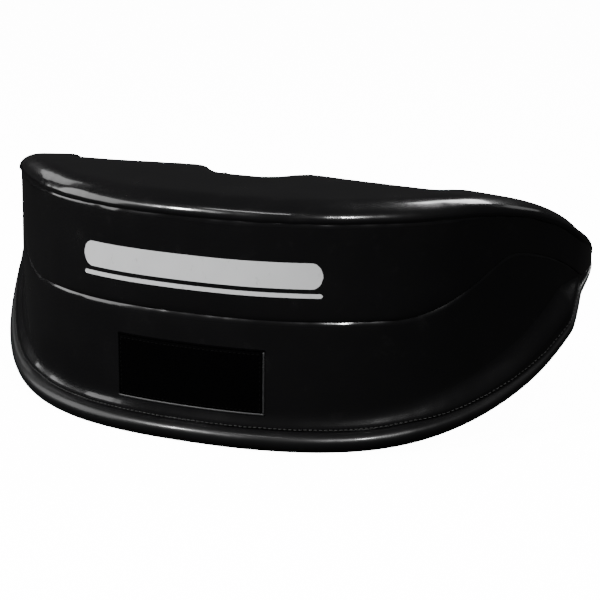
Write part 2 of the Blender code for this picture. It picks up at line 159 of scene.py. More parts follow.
def ramp(u, start):
    return clamp((abs(u) - start) / (1 - start))


def softer_max(a, b, softness):
    return 0.5 * (a + b + hypot(a - b, softness))


def new_mesh(name, verts, faces):
    mesh = bpy.data.meshes.new(name)
    mesh.from_pydata([tuple(v) for v in verts], [], faces)
    mesh.validate()
    return mesh


def linked(name, data):
    item = bpy.data.objects.new(name, data)
    bpy.context.scene.collection.objects.link(item)
    return item


def new_object(name, mesh, look):
    piece = linked(name, mesh)
    mesh.materials.clear()
    mesh.materials.append(look)
    return piece


def smooth_shaded(piece, sharp=None):
    piece.data.shade_smooth()
    if sharp:
        piece.data.set_sharp_from_angle(angle=radians(sharp))
    return piece


def oriented(mesh):
    bm = bmesh.new()
    bm.from_mesh(mesh)
    bmesh.ops.recalc_face_normals(bm, faces=bm.faces)
    bm.to_mesh(mesh)
    bm.free()
    return mesh


def solid(name, verts, faces, look, sharp=None):
    """A closed piece whose faces all look outward."""
    return smooth_shaded(new_object(name, oriented(new_mesh(name, verts, faces)), look), sharp)


def apply_modifiers(piece, sharp=40):
    graph = bpy.context.evaluated_depsgraph_get()
    mesh = bpy.data.meshes.new_from_object(piece.evaluated_get(graph))
    piece.modifiers.clear()
    piece.data = mesh
    smooth_shaded(piece, sharp)


def finish_piece(piece, body, slot, *nodes):
    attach(piece, body)
    if nodes:
        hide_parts(*nodes)
    return piece


# ---- shape of the pad

def plan(u):
    angle = u * TIP_ANGLE
    power = 2 / PLAN_POWER
    x = HALF_WIDTH * copysign(abs(sin(angle)) ** power, u)
    return Vector((x, PLAN_Y - FRONT_REACH * max(cos(angle), 0.0) ** power))


def outward(u):
    way = plan(u + PLAN_NUDGE) - plan(u - PLAN_NUDGE)
    return Vector((way.y, -way.x)).normalized()


def top_height(u):
    return TOP - (TOP - TIP_HEIGHT) * (1 - sqrt(max(1 - ramp(u, DROOP_START) ** 2, 0.0)))


def bottom_height(u):
    sweep = SWEEP_HEIGHT * ramp(u, SWEEP_START) ** SWEEP_POWER
    closing = ramp(u, END_ROUND_START) ** NOSE_POWER
    return sweep + (TIP_HEIGHT - sweep) * (1 - max(1 - closing, 0.0) ** (1 / NOSE_POWER))


def mid_height(u, roll_seam, low):
    rising = MID_SEAM + MID_SEAM_LIFT * ramp(u, MID_SEAM_START) ** 2
    seam = -softer_max(-rising, SEAM_BAND - roll_seam, SOFTNESS)
    return max(seam, low)


def pad_thickness(u):
    front = plan(u)
    normal = outward(u)
    line = BACK_Y - BACK_BOW * (front.x / HALF_WIDTH) ** 2
    deep = (line - front.y) / max(-normal.y, LEAST_FACING)
    notch = NOTCH_DEPTH * exp(-abs(front.x / NOTCH_WIDTH) ** 3)
    return softer_max(deep, WING_THICKNESS, SOFTNESS) - notch


class Station:
    """One cut through the pad, square to its front wall."""

    def __init__(self, u):
        self.u = u
        self.front = plan(u)
        self.normal = outward(u)
        past = max(0.0, (abs(u) - FULL_END) / (1 - FULL_END))
        self.rounding = sqrt(max(1 - past * past, 0.0))
        self.front.y += NOSE_REACH * past
        self.spread = WING_SPREAD * ramp(u, SPREAD_START) ** 2 - NOSE_INSET * (1 - self.rounding)
        self.deep = (pad_thickness(u) + self.spread) * self.rounding
        self.high = top_height(u)
        self.low = bottom_height(u)
        self.fit = clamp((self.high - self.low) / FULL_HEIGHT)
        self.roll_seam = self.high - ROLL_HEIGHT * self.fit
        taper = ramp(u, BEAD_TAPER_START)
        self.bead_radius = BEAD_RADIUS * (1 - BEAD_THINNING * taper) * self.fit
        self.bead_proud = BEAD_PROUD * (1 - PROUD_THINNING * taper) * self.fit
        self.bead_seam = self.low + 2 * self.bead_radius + BEAD_SEAM_GAP * self.fit
        above_bead = self.bead_seam + MID_SEAM_CLEAR * self.fit
        room = ROLL_ROOM * self.fit * ROLL_HEIGHT
        self.mid_seam = clamp(mid_height(u, self.roll_seam, above_bead), above_bead,
                              max(self.roll_seam - room, above_bead))
        self.flare_foot = self.low + (2 * BEAD_RADIUS + FLARE_FOOT_GAP) * self.fit
        rise = min((FLARE_RISE + WING_RISE * ramp(u, SPREAD_START)) * self.fit,
                   max((self.mid_seam - self.flare_foot) / 2, TINY))
        self.knee = self.flare_foot + rise
        reach = (FLARE + WING_FLARE * ramp(u, SPREAD_START) * (1 - ramp(u, FLARE_END))) * self.fit
        self.full_flare = min(reach, FLARE_SLOPE * rise)

    def wall(self, z, inset=0.0):
        flat = self.front + self.normal * (self.spread - inset)
        return Vector((flat.x, flat.y, z))

    def body(self, z, inset=0.0):
        flat = self.front + self.normal * (self.spread - self.deep + inset)
        return Vector((flat.x, flat.y, z))

    def flare(self, z):
        return self.full_flare * smooth((self.knee - z) / (self.knee - self.flare_foot))


def even(count, first=0.0, last=1.0):
    return [first + (last - first) * i / (count - 1) for i in range(count)]


def distances(points):
    """Distance of each point along its line."""
    reach = [0.0]
    for near, far in zip(points, points[1:]):
        reach.append(reach[-1] + (far - near).length)
    return reach


def with_lips(length, count):
    """Shares of a stretch with close rows at both seams and even ones between."""
    lip = SEAM_LIP / length
    return [0.0, lip] + even(count, LIP_STEP * lip, 1 - LIP_STEP * lip) + [1 - lip, 1.0]


def back_rows(cut):
    edge = EDGE_RADIUS * cut.fit
    low = cut.low + edge
    high = cut.high - edge
    rows = []
    for share in with_lips(*PANEL_ROWS["back"]):
        depth = SEAM_DEPTH * cut.fit if share in (0.0, 1.0) else 0.0
        rows.append(cut.body(low + (high - low) * share, depth))
    return rows


def top_rows(cut):
    edge = EDGE_RADIUS * min(cut.fit, cut.rounding + 0.02)
    tall_edge = EDGE_RADIUS * cut.fit
    rows = [cut.body(cut.high - tall_edge, SEAM_DEPTH * cut.fit)]
    for angle in even(4, radians(8), pi / 2):
        rows.append(cut.body(cut.high - tall_edge * (1 - sin(angle)), edge * (1 - cos(angle))))
    setback = min(ROLL_SETBACK * cut.fit, ROLL_SHARE * cut.deep)
    start = cut.body(cut.high, edge)
    end = cut.wall(cut.high, setback)
    rows += [start.lerp(end, share) for share in even(18)[1:-1]]
    over = ROLL_OVERHANG * cut.fit
    drop = ROLL_DROP * cut.fit
    for angle in even(9, 0, pi / 2):
        inset = setback - (setback + over) * sin(angle) ** ROLL_POWER
        rows.append(cut.wall(cut.high - drop * (1 - cos(angle)), inset))
    tuck = cut.high - drop
    for share in TUCK_SHARES:
        z = tuck + (cut.roll_seam - tuck) * share
        rows.append(cut.wall(z, -over * (1 - share ** 2)))
    rows.append(cut.wall(cut.roll_seam, ROLL_SEAM_DEPTH * cut.fit))
    return rows


def wall_rows(cut, top, bottom, top_depth, bottom_depth, shares):
    """Rows down the front wall, dipping into the seams at both ends."""
    dips = {0.0: top_depth * cut.fit, 1.0: bottom_depth * cut.fit}
    rows = []
    for share in shares:
        z = top + (bottom - top) * share
        rows.append(cut.wall(z, dips.get(share, 0.0) - cut.flare(z)))
    return rows


def upper_rows(cut):
    return wall_rows(cut, cut.roll_seam, cut.mid_seam, ROLL_SEAM_DEPTH, MID_SEAM_DEPTH,
                     with_lips(*PANEL_ROWS["upper"]))


def lower_rows(cut):
    return wall_rows(cut, cut.mid_seam, cut.bead_seam, MID_SEAM_DEPTH, SEAM_DEPTH,
                     with_lips(*PANEL_ROWS["lower"]))


def bead_rows(cut):
    centre = cut.low + cut.bead_radius
    rows = [cut.wall(cut.bead_seam, SEAM_DEPTH * cut.fit - cut.full_flare)]
    for angle in even(13, BEAD_START, -pi / 2):
        reach = cut.full_flare + cut.bead_proud * cos(angle)
        rows.append(cut.wall(centre + cut.bead_radius * sin(angle), -reach))
    rows.append(cut.wall(cut.low, BASE_SEAM_DEPTH * cut.fit - cut.full_flare))
    return rows


def base_rows(cut):
    edge = EDGE_RADIUS * cut.fit
    start = cut.wall(cut.low, BASE_SEAM_DEPTH * cut.fit - cut.full_flare)
    end = cut.body(cut.low, min(edge, EDGE_SHARE * cut.deep))
    rows = [start.lerp(end, share) for share in with_lips(*PANEL_ROWS["base"])]
    for angle in even(4, pi / 2, 0)[1:]:
        inset = min(edge, EDGE_SHARE * cut.deep) * (1 - cos(angle))
        rows.append(cut.body(cut.low + edge * (1 - sin(angle)), inset))
    rows[-1] = cut.body(cut.low + edge, SEAM_DEPTH * cut.fit)
    return rows


# Panels in order round the section; each ends on the seam where the next begins
PANELS = (
    ("back", back_rows), ("top", top_rows), ("upper", upper_rows),
    ("lower", lower_rows), ("bead", bead_rows), ("base", base_rows),
)


def make_cuts(gap):
    """Cuts spaced evenly along the front wall, from tip to tip."""
    values = [-1 + 2 * i / PLAN_STEPS for i in range(PLAN_STEPS + 1)]
    reach = distances([plan(u) for u in values])
    count = round(reach[-1] / gap)
    step = reach[-1] / count
    closing = [step * share for share in TIP_CUTS]
    places = closing + [step * i for i in range(1, count)]
    places += [reach[-1] - place for place in reversed(closing)]
    cuts = []
    spot = 0
    for wanted in places:
        while reach[spot + 1] < wanted:
            spot += 1
        share = (wanted - reach[spot]) / (reach[spot + 1] - reach[spot])
        cuts.append(Station(values[spot] + share * 2 / PLAN_STEPS))
    return cuts


class Skin:
    """Grid of points over the whole pad: rows run tip to tip, one list per row."""

    def __init__(self, gap=STATION_GAP):
        self.cuts = make_cuts(gap)
        self.first = {}
        self.last = {}
        self.rows = []
        sections = {name: [rows(cut) for cut in self.cuts] for name, rows in PANELS}
        for name, _ in PANELS:
            columns = sections[name]
            self.first[name] = len(self.rows)
            self.rows += [[column[r] for column in columns] for r in range(len(columns[0]) - 1)]
            self.last[name] = len(self.rows)
        self.tips = [self.nose(0, 1), self.nose(-1, -2)]
        self.normals = None

    def nose(self, end, inner):
        """Point closing a wing end: the middle of the last cut, pushed on a little."""
        middle = sum((row[end] for row in self.rows), Vector()) / len(self.rows)
        before = sum((row[inner] for row in self.rows), Vector()) / len(self.rows)
        return middle + (middle - before).normalized() * TIP_PUSH

    def row(self, index):
        return self.rows[index % len(self.rows)]

    def panel_rows(self, name):
        return [self.row(r) for r in range(self.first[name], self.last[name] + 1)]

    def find_normals(self):
        """Outward normal at each point, from its neighbours."""
        last = len(self.cuts) - 1
        self.normals = []
        for r, row in enumerate(self.rows):
            after, before = self.row(r + 1), self.row(r - 1)
            self.normals.append([
                (after[i] - before[i]).cross(row[min(i + 1, last)] - row[max(i - 1, 0)]).normalized()
                for i in range(last + 1)])


def skin_mesh(name, rows, tips, closed):
    """Grid of rows with a fan to each tip; closed also joins the last row to the first."""
    width = len(rows[0])
    count = len(rows)
    verts = [point for row in rows for point in row] + tips
    left, right = len(verts) - 2, len(verts) - 1
    faces = []
    for r in range(count if closed else count - 1):
        here, there = r * width, (r + 1) % count * width
        for i in range(width - 1):
            faces.append((here + i, there + i, there + i + 1, here + i + 1))
        faces.append((left, there, here))
        faces.append((right, here + width - 1, there + width - 1))
    return new_mesh(name, verts, faces)


# ---- inflating the cover

CLOTH_FRAMES = 20
CLOTH_PRESSURE = 4.0
SLACK = -0.003
PANEL_CAP = {"back": 0.0030, "top": 0.0009, "upper": 0.0006, "lower": 0.0007, "bead": 0.0,
             "base": 0.0}
CALM_WINGS = 0.55
SEWN_REACH = 0.012
HELD_ROUNDING = 0.9
CLOTH = {"quality": 4, "mass": 0.3, "tension_stiffness": 20, "compression_stiffness": 12,
         "bending_stiffness": 0.6, "use_pressure": True, "uniform_pressure_force": CLOTH_PRESSURE,
         "shrink_min": SLACK, "vertex_group_mass": "sewn"}
EVEN_SPAN = 4


def sewn_down(point):
    """1 where the strap tabs and the pocket's hems hold the body side down."""
    tab = box_low("right_anchor"), box_high("right_anchor")
    hem = box_low("cup_pocket"), box_high("cup_pocket")
    beside_tab = max(tab[0].y - point.y, tab[0].z - point.z, point.z - tab[1].z)
    beside_hem = max(abs(point.x) - hem[1].x, hem[0].z - point.z, point.z - hem[1].z,
                     0.5 * hem[1].x - abs(point.x))
    return 1 - smooth(min(beside_tab, beside_hem) / SEWN_REACH)


def swollen_skin():
    """Moves of a coarse skin as cloth under pressure, sewn down at every seam."""
    skin = Skin(CLOTH_GAP)
    piece = new_object("cloth_skin", skin_mesh("cloth_skin", skin.rows, skin.tips, True), LEATHER)
    width = len(skin.cuts)
    count = len(skin.rows)
    bead = {r % count for r in range(skin.first["bead"], skin.last["bead"] + 1)}
    still = bead | {skin.first[name] for name, _ in PANELS}
    held = [r * width + i for r in range(count) for i, cut in enumerate(skin.cuts)
            if r in still or cut.rounding < HELD_ROUNDING]
    held += [count * width, count * width + 1]
    pins = piece.vertex_groups.new(name="sewn")
    pins.add(held, 1.0, "REPLACE")
    cloth = piece.modifiers.new("Cloth", "CLOTH")
    for key, value in CLOTH.items():
        setattr(cloth.settings, key, value)
    cloth.settings.effector_weights.gravity = 0
    cloth.collision_settings.use_collision = False
    cloth.point_cache.frame_end = CLOTH_FRAMES
    for step in range(1, CLOTH_FRAMES + 1):
        bpy.context.scene.frame_set(step)
    graph = bpy.context.evaluated_depsgraph_get()
    swollen = [vert.co.copy() for vert in piece.evaluated_get(graph).data.vertices]
    bpy.data.objects.remove(piece)
    bpy.context.scene.frame_set(1)
    moves = [[swollen[r * width + i] - skin.rows[r][i] for i in range(width)] for r in range(count)]
    return [cut.u for cut in skin.cuts], moves


def evened(line):
    """Moves along one row, each averaged with its neighbours; leather keeps no fine folds."""
    smoothed = []
    for i in range(len(line)):
        near = line[max(i - EVEN_SPAN, 0):i + EVEN_SPAN + 1]
        smoothed.append(sum(near, Vector()) / len(near))
    return smoothed


def inflate(skin):
    """Swells the covers by the cloth's moves; each panel's swell is capped."""
    coarse, moves = swollen_skin()
    for r in range(skin.first["top"], skin.last["lower"]):
        moves[r] = evened(evened(moves[r]))
    spots = []
    for cut in skin.cuts:
        after = next((k for k, u in enumerate(coarse) if u > cut.u), len(coarse) - 1)
        before = max(after - 1, 0)
        reach = coarse[after] - coarse[before]
        spots.append((before, after, clamp((cut.u - coarse[before]) / reach if reach else 0.0)))
    for name, _ in PANELS:
        cap = PANEL_CAP[name]
        for r in range(skin.first[name], skin.last[name]):
            for i, (before, after, share) in enumerate(spots):
                point = skin.rows[r][i]
                move = moves[r][before].lerp(moves[r][after], share)
                if cap and move.length > TINY:
                    allowed = cap * tanh(move.length / cap)
                    if name == "back":
                        allowed *= 1 - sewn_down(point)
                    else:
                        allowed *= 1 - smooth(ramp(skin.cuts[i].u, CALM_WINGS) * 3)
                    skin.rows[r][i] = point + move * (allowed / move.length)


PUCKER_REACH = 0.006
PUCKER_DEPTH = 0.00045
SEAM_SPAN = 0.32
GATHER = 0.0075
WIDE_GATHER = 0.019
SOFT_WAVES = 0.00035
WAVE_SCALE = 28
CALM_SEAM = 0.012


def pucker(skin):
    """Gathers beside the seams, and slow waves over the panels."""
    skin.find_normals()
    for index, (name, _) in enumerate(PANELS):
        if name == "bead":
            continue
        first, last = skin.first[name], skin.last[name]
        low, high = skin.row(first), skin.row(last)
        for r in range(first + 1, last):
            for i, cut in enumerate(skin.cuts):
                point = skin.rows[r][i]
                near = min((point - low[i]).length, (point - high[i]).length)
                away = cut.u * SEAM_SPAN
                gather = noise.noise(Vector((away / GATHER, index * 7.3, 0.5)))
                gather += 0.6 * noise.noise(Vector((away / WIDE_GATHER, index * 3.1, 4.2)))
                wave = noise.noise(point * WAVE_SCALE + Vector((index * 5.0, 0, 0)))
                depth = PUCKER_DEPTH * gather * exp(-near / PUCKER_REACH)
                depth += SOFT_WAVES * wave * smooth(near / CALM_SEAM)
                skin.rows[r][i] = point + skin.normals[r][i] * (depth * cut.fit)


def thicken(piece, thickness):
    shell = piece.modifiers.new("Thickness", "SOLIDIFY")
    shell.thickness = thickness
    shell.offset = -1
    apply_modifiers(piece)


def cover_piece(skin, name, panel, look, slot, node):
    """One panel of the cover: the sewn piece between two seams, with its real thickness."""
    piece = new_object(name, skin_mesh(name, skin.panel_rows(panel), skin.tips, False), look)
    smoother = piece.modifiers.new("Smooth", "SUBSURF")
    smoother.levels = smoother.render_levels = 1
    thicken(piece, COVER_THICKNESS)
    finish_piece(piece, "pad", slot, node)


# ---- points on the skin

def skin_point(skin, panel, u, z):
    """Point and outward normal on a front panel at wall place u and height z."""
    after = next(i for i, cut in enumerate(skin.cuts) if cut.u > u)
    near, far = skin.cuts[after - 1].u, skin.cuts[after].u
    last = skin.last[panel] - 1
    found = []
    for i in (after - 1, after):
        r = next(r for r in range(skin.first[panel], last + 1)
                 if skin.row(r + 1)[i].z <= z or r == last)
        high, low = skin.rows[r][i], skin.row(r + 1)[i]
        part = clamp((high.z - z) / max(high.z - low.z, TINY))
        normal = skin.normals[r][i].lerp(skin.normals[(r + 1) % len(skin.rows)][i], part)
        found.append((high.lerp(low, part), normal))
    share = (u - near) / (far - near)
    point = found[0][0].lerp(found[1][0], share)
    return point, found[0][1].lerp(found[1][1], share).normalized()


SLAB_LIFT = 0.0001


def slab_on_skin(name, skin, panel, columns, look, lift):
    """Thin closed solid on a panel; columns hold (u, [heights]), lift(c, r) its outer offset."""
    rows = len(columns[0][1])
    outer, inner = [], []
    for c, (u, heights) in enumerate(columns):
        for r, z in enumerate(heights):
            point, normal = skin_point(skin, panel, u, z)
            outer.append(point + normal * lift(c, r))
            inner.append(point + normal * SLAB_LIFT)
    total = len(outer)
    faces = grid_faces(len(columns), rows)
    faces += [tuple(total + corner for corner in reversed(face)) for face in faces]
    rim = [c * rows for c in range(len(columns))]
    rim += [(len(columns) - 1) * rows + r for r in range(1, rows)]
    rim += [c * rows + rows - 1 for c in range(len(columns) - 2, -1, -1)]
    rim += [r for r in range(rows - 2, 0, -1)]
    for a, b in zip(rim, rim[1:] + rim[:1]):
        faces.append((b, a, total + a, total + b))
    return solid(name, outer + inner, faces, look)


def grid_faces(columns, rows):
    """Quads of a grid of points held column by column."""
    return [(a, a + rows, a + rows + 1, a + 1)
            for c in range(columns - 1) for a in range(c * rows, c * rows + rows - 1)]


def circle(sides):
    return [2 * pi * k / sides for k in range(sides)]


def ring_faces(count, sides, first=0, joined=False):
    """Quads between rings of points; joined also ties the last ring to the first."""
    faces = []
    for i in range(count if joined else count - 1):
        here, there = first + i * sides, first + (i + 1) % count * sides
        for k in range(sides):
            m = (k + 1) % sides
            faces.append((here + k, here + m, there + m, there + k))
    if not joined:
        last = first + (count - 1) * sides
        faces.append(tuple(range(first + sides - 1, first - 1, -1)))
        faces.append(tuple(range(last, last + sides)))
    return faces


PATCH_FIRST = -0.136
PATCH_LAST = 0.149
PATCH_RIM = 0.0014
PILE_HEIGHT = 0.0014
PILE_EDGE = 0.0005
PILE_STEP = 0.0009
PILE_TUFT = 0.00016
TUFT_SCALE = 0.83
RIM_ROWS = 5
RIM_OVERLAP = 0.0002
RIM_EDGE = 0.0003
RIM_SWELL = 0.0006
STITCH_INSET = 2.2
THREAD_RADIUS = 0.00032
STITCH_SHARE = 0.74
STITCH_PROUD = 0.0001
COVER_STITCH = 0.0032
EDGE_STITCH = 0.0030
STRAP_STITCH = 0.0028
STITCH_MARGIN = 0.002


def patch_pile(skin, rim_u):
    low, high = box_low("loop_patch").z, box_high("loop_patch").z
    count_u = round(box_size("loop_patch").x / PILE_STEP)
    count_z = round((high - low) / PILE_STEP)

    def lift(c, r):
        edge = min(c, count_u - c, r, count_z - r)
        rough = noise.noise(Vector((c * TUFT_SCALE, r * TUFT_SCALE, 2.0))) * PILE_TUFT
        return PILE_EDGE + (PILE_HEIGHT - PILE_EDGE) * smooth(edge / 2) + rough

    us = even(count_u + 1, PATCH_FIRST + rim_u, PATCH_LAST - rim_u)
    zs = even(count_z + 1, low + PATCH_RIM, high - PATCH_RIM)
    pile = slab_on_skin("patch_pile", skin, "lower", [(u, zs) for u in us], PILE, lift)
    finish_piece(pile, "pad", "loop_pile", "loop_patch")


def patch_edges(skin, rim_u):
    low, high = box_low("loop_patch").z, box_high("loop_patch").z
    long_us = even(60, PATCH_FIRST, PATCH_LAST)
    short_zs = even(30, low + PATCH_RIM, high - PATCH_RIM)
    # The bottom and right edges take the lighter edge look as a painted highlight; the top and left
    # edges stay dark pile.
    edges = (
        (long_us, even(RIM_ROWS, high - PATCH_RIM - RIM_OVERLAP, high), PILE),
        (long_us, even(RIM_ROWS, low, low + PATCH_RIM + RIM_OVERLAP), SELVEDGE_HIGHLIGHT),
        (even(RIM_ROWS, PATCH_FIRST, PATCH_FIRST + rim_u), short_zs, PILE),
        (even(RIM_ROWS, PATCH_LAST - rim_u, PATCH_LAST), short_zs, SELVEDGE_HIGHLIGHT),
    )
    for index, (us, zs, look) in enumerate(edges, 1):
        def lift(c, r):
            across = r if len(zs) == RIM_ROWS else c
            return RIM_EDGE + RIM_SWELL * sin(pi * across / (RIM_ROWS - 1)) ** 0.5

        rim = slab_on_skin(f"patch_edge_{index}", skin, "lower", [(u, zs) for u in us], look, lift)
        finish_piece(rim, "pad", "loop_pile")


def make_patch(skin):
    """Loop pile inside a thin woven edge, sewn on with one row of stitches; the right and bottom edges
    carry a painted highlight.
    """
    size = box_size("loop_patch")
    middle = box_low("loop_patch").z + size.z / 2
    rim_u = PATCH_RIM / size.x * (PATCH_LAST - PATCH_FIRST)
    patch_pile(skin, rim_u)
    patch_edges(skin, rim_u)

    def spot(u, z):
        point, normal = skin_point(skin, "lower", u, middle + z)
        return point + normal * (PILE_HEIGHT - STITCH_PROUD), normal

    inset_u = STITCH_INSET * rim_u
    lines = box_lines(spot, PATCH_FIRST + inset_u, PATCH_LAST - inset_u,
                      size.z / 2 - STITCH_INSET * PATCH_RIM, 40, False)
    finish_piece(stitches("patch_stitches", lines, EDGE_STITCH, BLACK_THREAD), "pad", "loop_pile")


MARK_FIRST = -0.235
MARK_LAST = 0.275
MARK_BARS = (("print_bar_wide", TOP - 0.0440, 0.0165), ("print_bar_thin", TOP - 0.0565, 0.0028))
PRINT_LIFT = 0.00022
PRINT_END = 0.12


def make_mark(skin):
    """Two plain printed bars with round ends."""
    length = (plan(MARK_LAST) - plan(MARK_FIRST)).length
    for name, middle, height in MARK_BARS:
        half = height / 2
        columns = []
        for share in even(121):
            from_end = min(min(share, 1 - share) * length, half)
            reach = max(sqrt(half ** 2 - (half - from_end) ** 2), PRINT_END * half)
            u = MARK_FIRST + (MARK_LAST - MARK_FIRST) * share
            columns.append((u, even(7, middle - reach, middle + reach)))
        bar = slab_on_skin(name, skin, "upper", columns, PRINT, lambda c, r: PRINT_LIFT)
        finish_piece(smooth_shaded(bar, 40), "pad", "cover")


# ---- stitches

# Place, thickness and rise of the rings of one stitch
STITCH_RINGS = ((-0.5, 0.45, -0.9), (-0.32, 0.95, 0.1), (0.0, 1.0, 0.45), (0.32, 0.95, 0.1),
                (0.5, 0.45, -0.9))
STITCH_SIDES = 6


def resample(line, gap):
    """Points, normals and directions every gap along a line of (point, normal)."""
    spots = []
    left = gap / 2
    for (start, normal), (end, other) in zip(line, line[1:]):
        reach = (end - start).length
        travelled = 0.0
        while reach - travelled > left:
            travelled += left
            share = travelled / reach
            spots.append((start.lerp(end, share), normal.lerp(other, share).normalized(),
                          (end - start).normalized()))
            left = gap
        left -= reach - travelled
    return spots


def stitches(name, lines, gap, look=None):
    """Rows of separate thread stitches that dip into the cloth at both ends."""
    verts, faces = [], []
    for line in lines:
        for point, normal, along in resample(line, gap):
            across = normal.cross(along).normalized()
            faces += ring_faces(len(STITCH_RINGS), STITCH_SIDES, len(verts))
            for place, thick, rise in STITCH_RINGS:
                centre = point + along * (place * gap * STITCH_SHARE) + normal * (rise * THREAD_RADIUS)
                for angle in circle(STITCH_SIDES):
                    way = across * cos(angle) + normal * sin(angle)
                    verts.append(centre + way * THREAD_RADIUS * thick)
    return solid(name, verts, faces, look or THREAD)


LINE_ROUNDING = 0.75
# Panel, whether the line runs by its lower seam, and the distance from that seam
COVER_LINES = {
    "bead_seam_stitches": ("lower", True, 0.0018),
    "back_top_stitches": ("back", True, 0.0042),
    "back_bottom_stitches": ("back", False, 0.0042),
    "base_stitches": ("base", True, 0.0060),
}


def seam_line(skin, panel, near_end, distance):
    """Line on a panel at a distance from one of its seams, tip to tip."""
    order = [r % len(skin.rows) for r in range(skin.first[panel], skin.last[panel] + 1)]
    if near_end:
        order.reverse()
    line = []
    for i, cut in enumerate(skin.cuts):
        if cut.rounding < LINE_ROUNDING:
            continue
        left = distance * cut.fit
        for near, far in zip(order, order[1:]):
            step = (skin.rows[far][i] - skin.rows[near][i]).length
            if step >= left:
                point = skin.rows[near][i].lerp(skin.rows[far][i], left / step)
                normal = skin.normals[near][i].lerp(skin.normals[far][i], left / step).normalized()
                line.append((point + normal * STITCH_PROUD, normal))
                break
            left -= step
    return line


def make_cover_stitches(skin):
    for name, place in COVER_LINES.items():
        line = seam_line(skin, *place)
        finish_piece(stitches(name, [line], COVER_STITCH), "pad", "cover")


# ---- webbing

STRAP = 0.0013
STRAP_CLEAR = 0.0002
WIRE_RADIUS = 0.002
EYE_PATH = WIRE_RADIUS + STRAP / 2 + STRAP_CLEAR
FOLD_LENGTH = 0.028
EASE_LENGTH = 0.009
EYE_START = 0.2 * EYE_PATH
SELVEDGE_START = 0.4
LAYERS_PART = 0.003
LAYERS_EASE = 0.012
BOX_NEAR = 0.0105
BOX_HALF = 0.4


def ribbon(name, path, height, middle, thick, look):
    """Webbing on edge along a plan path, with round selvedges and UVs in metres."""
    round_off = thick / 2
    flank = height / 2 - round_off
    section = []
    for way in (1, -1):
        section += [(way * round_off, way * z) for z in even(9, -flank, flank)]
        section += [(way * round_off * cos(a), way * (flank + round_off * sin(a)))
                    for a in even(4, SELVEDGE_START, pi - SELVEDGE_START)]
    verts = []
    for i, point in enumerate(path):
        before, after = path[max(i - 1, 0)], path[min(i + 1, len(path) - 1)]
        along = (after - before).normalized()
        across = Vector((-along.y, along.x))
        for offset, z in section:
            flat = point + across * offset
            verts.append((flat.x, flat.y, middle + z))
    sides, reach = len(section), distances(path)
    strap = solid(name, verts, ring_faces(len(path), sides), look, 50)
    layer = strap.data.uv_layers.new(name="length")
    for loop in strap.data.loops:
        ring, spot = divmod(loop.vertex_index, sides)
        layer.data[loop.index].uv = (reach[ring], section[spot][1])
    return strap


def flat(place):
    return Vector((place[0], place[1]))


class Side:
    """Places of one side's hardware, from the record's joints."""

    def __init__(self, word):
        self.word = word
        self.sign = -1 if word == "left" else 1
        self.centre = flat(joint("slider_travel")["pos_m"])
        self.belt_bar = flat(joint(word + "_belt_swing")["pos_m"])
        self.tab_bar = flat(joint(word + "_ring_swing")["pos_m"])
        self.middle = joint(word + "_belt_swing")["pos_m"][2]
        arm = self.belt_bar - self.centre
        self.radius = arm.length
        self.start = atan2(abs(arm.x), arm.y)
        end_x = min(abs(box_low(word + "_belt").x), abs(box_high(word + "_belt").x))
        self.finish = end_x / self.radius
        self.height = box_size(word + "_belt").z

    def radial(self, angle):
        return Vector((self.sign * sin(angle), cos(angle)))

    def on_belt(self, angle, offset=0.0):
        return self.centre + self.radial(angle) * (self.radius + offset)

    def tangent(self, angle):
        return Vector((self.sign * cos(angle), -sin(angle)))

    def on_face(self, angle, z, offset, facing):
        """Place and normal on the belt's outer (1) or inner (-1) face."""
        place = self.on_belt(angle, facing * offset)
        out = self.radial(angle) * facing
        return Vector((place.x, place.y, self.middle + z)), Vector((out.x, out.y, 0))


def belt_offset(reach, full):
    """Offset of a folded layer from the belt's middle line at a distance from the bar."""
    return full + (EYE_PATH - full) * (1 - smooth(reach / EASE_LENGTH))


def make_belt_half(side):
    fold = STRAP / 2 + STRAP_CLEAR / 4
    path = []
    length = side.radius * (side.start - side.finish)
    for reach in even(90, length, EYE_START):
        single = smooth((reach - FOLD_LENGTH - LAYERS_PART) / LAYERS_EASE)
        offset = belt_offset(reach, fold * (1 - single))
        path.append(side.on_belt(side.start - reach / side.radius, offset))
    radial = side.radial(side.start)
    tangent = side.tangent(side.start)
    for angle in even(17, 0, pi):
        path.append(side.belt_bar + (radial * cos(angle) + tangent * sin(angle)) * EYE_PATH)
    for reach in even(24, EYE_START, FOLD_LENGTH):
        path.append(side.on_belt(side.start - reach / side.radius, -belt_offset(reach, fold)))
    name = side.word + "_belt_webbing"
    strap = ribbon(name, path, side.height, side.middle, STRAP, WEBBING)
    finish_piece(strap, side.word + "_belt", "webbing", side.word + "_belt")

    lines = []
    face = fold + STRAP / 2
    for facing in (1, -1):
        def spot(reach, z):
            return side.on_face(side.start - reach / side.radius, z, face, facing)
        lines += box_lines(spot, BOX_NEAR, FOLD_LENGTH - STITCH_MARGIN, side.height * BOX_HALF)
    name = side.word + "_belt_stitches"
    finish_piece(stitches(name, lines, STRAP_STITCH), side.word + "_belt", "webbing")


def box_lines(spot, near, far, half, points=14, crossed=True):
    """Stitch lines of a box, with a cross in it if asked; spot gives the place and normal."""
    corners = [(near, -half), (far, -half), (far, half), (near, half)]
    pairs = list(zip(corners, corners[1:] + corners[:1]))
    if crossed:
        pairs += [(corners[0], corners[2]), (corners[1], corners[3])]
    return [[spot(a[0] + (b[0] - a[0]) * t, a[1] + (b[1] - a[1]) * t) for t in even(points)]
            for a, b in pairs]


CLOSURE_FIRST = radians(25)
CLOSURE_THICKNESS = 0.0011
CLOSURE_INSET = radians(0.7)
CLOSURE_SHORT = radians(1.2)


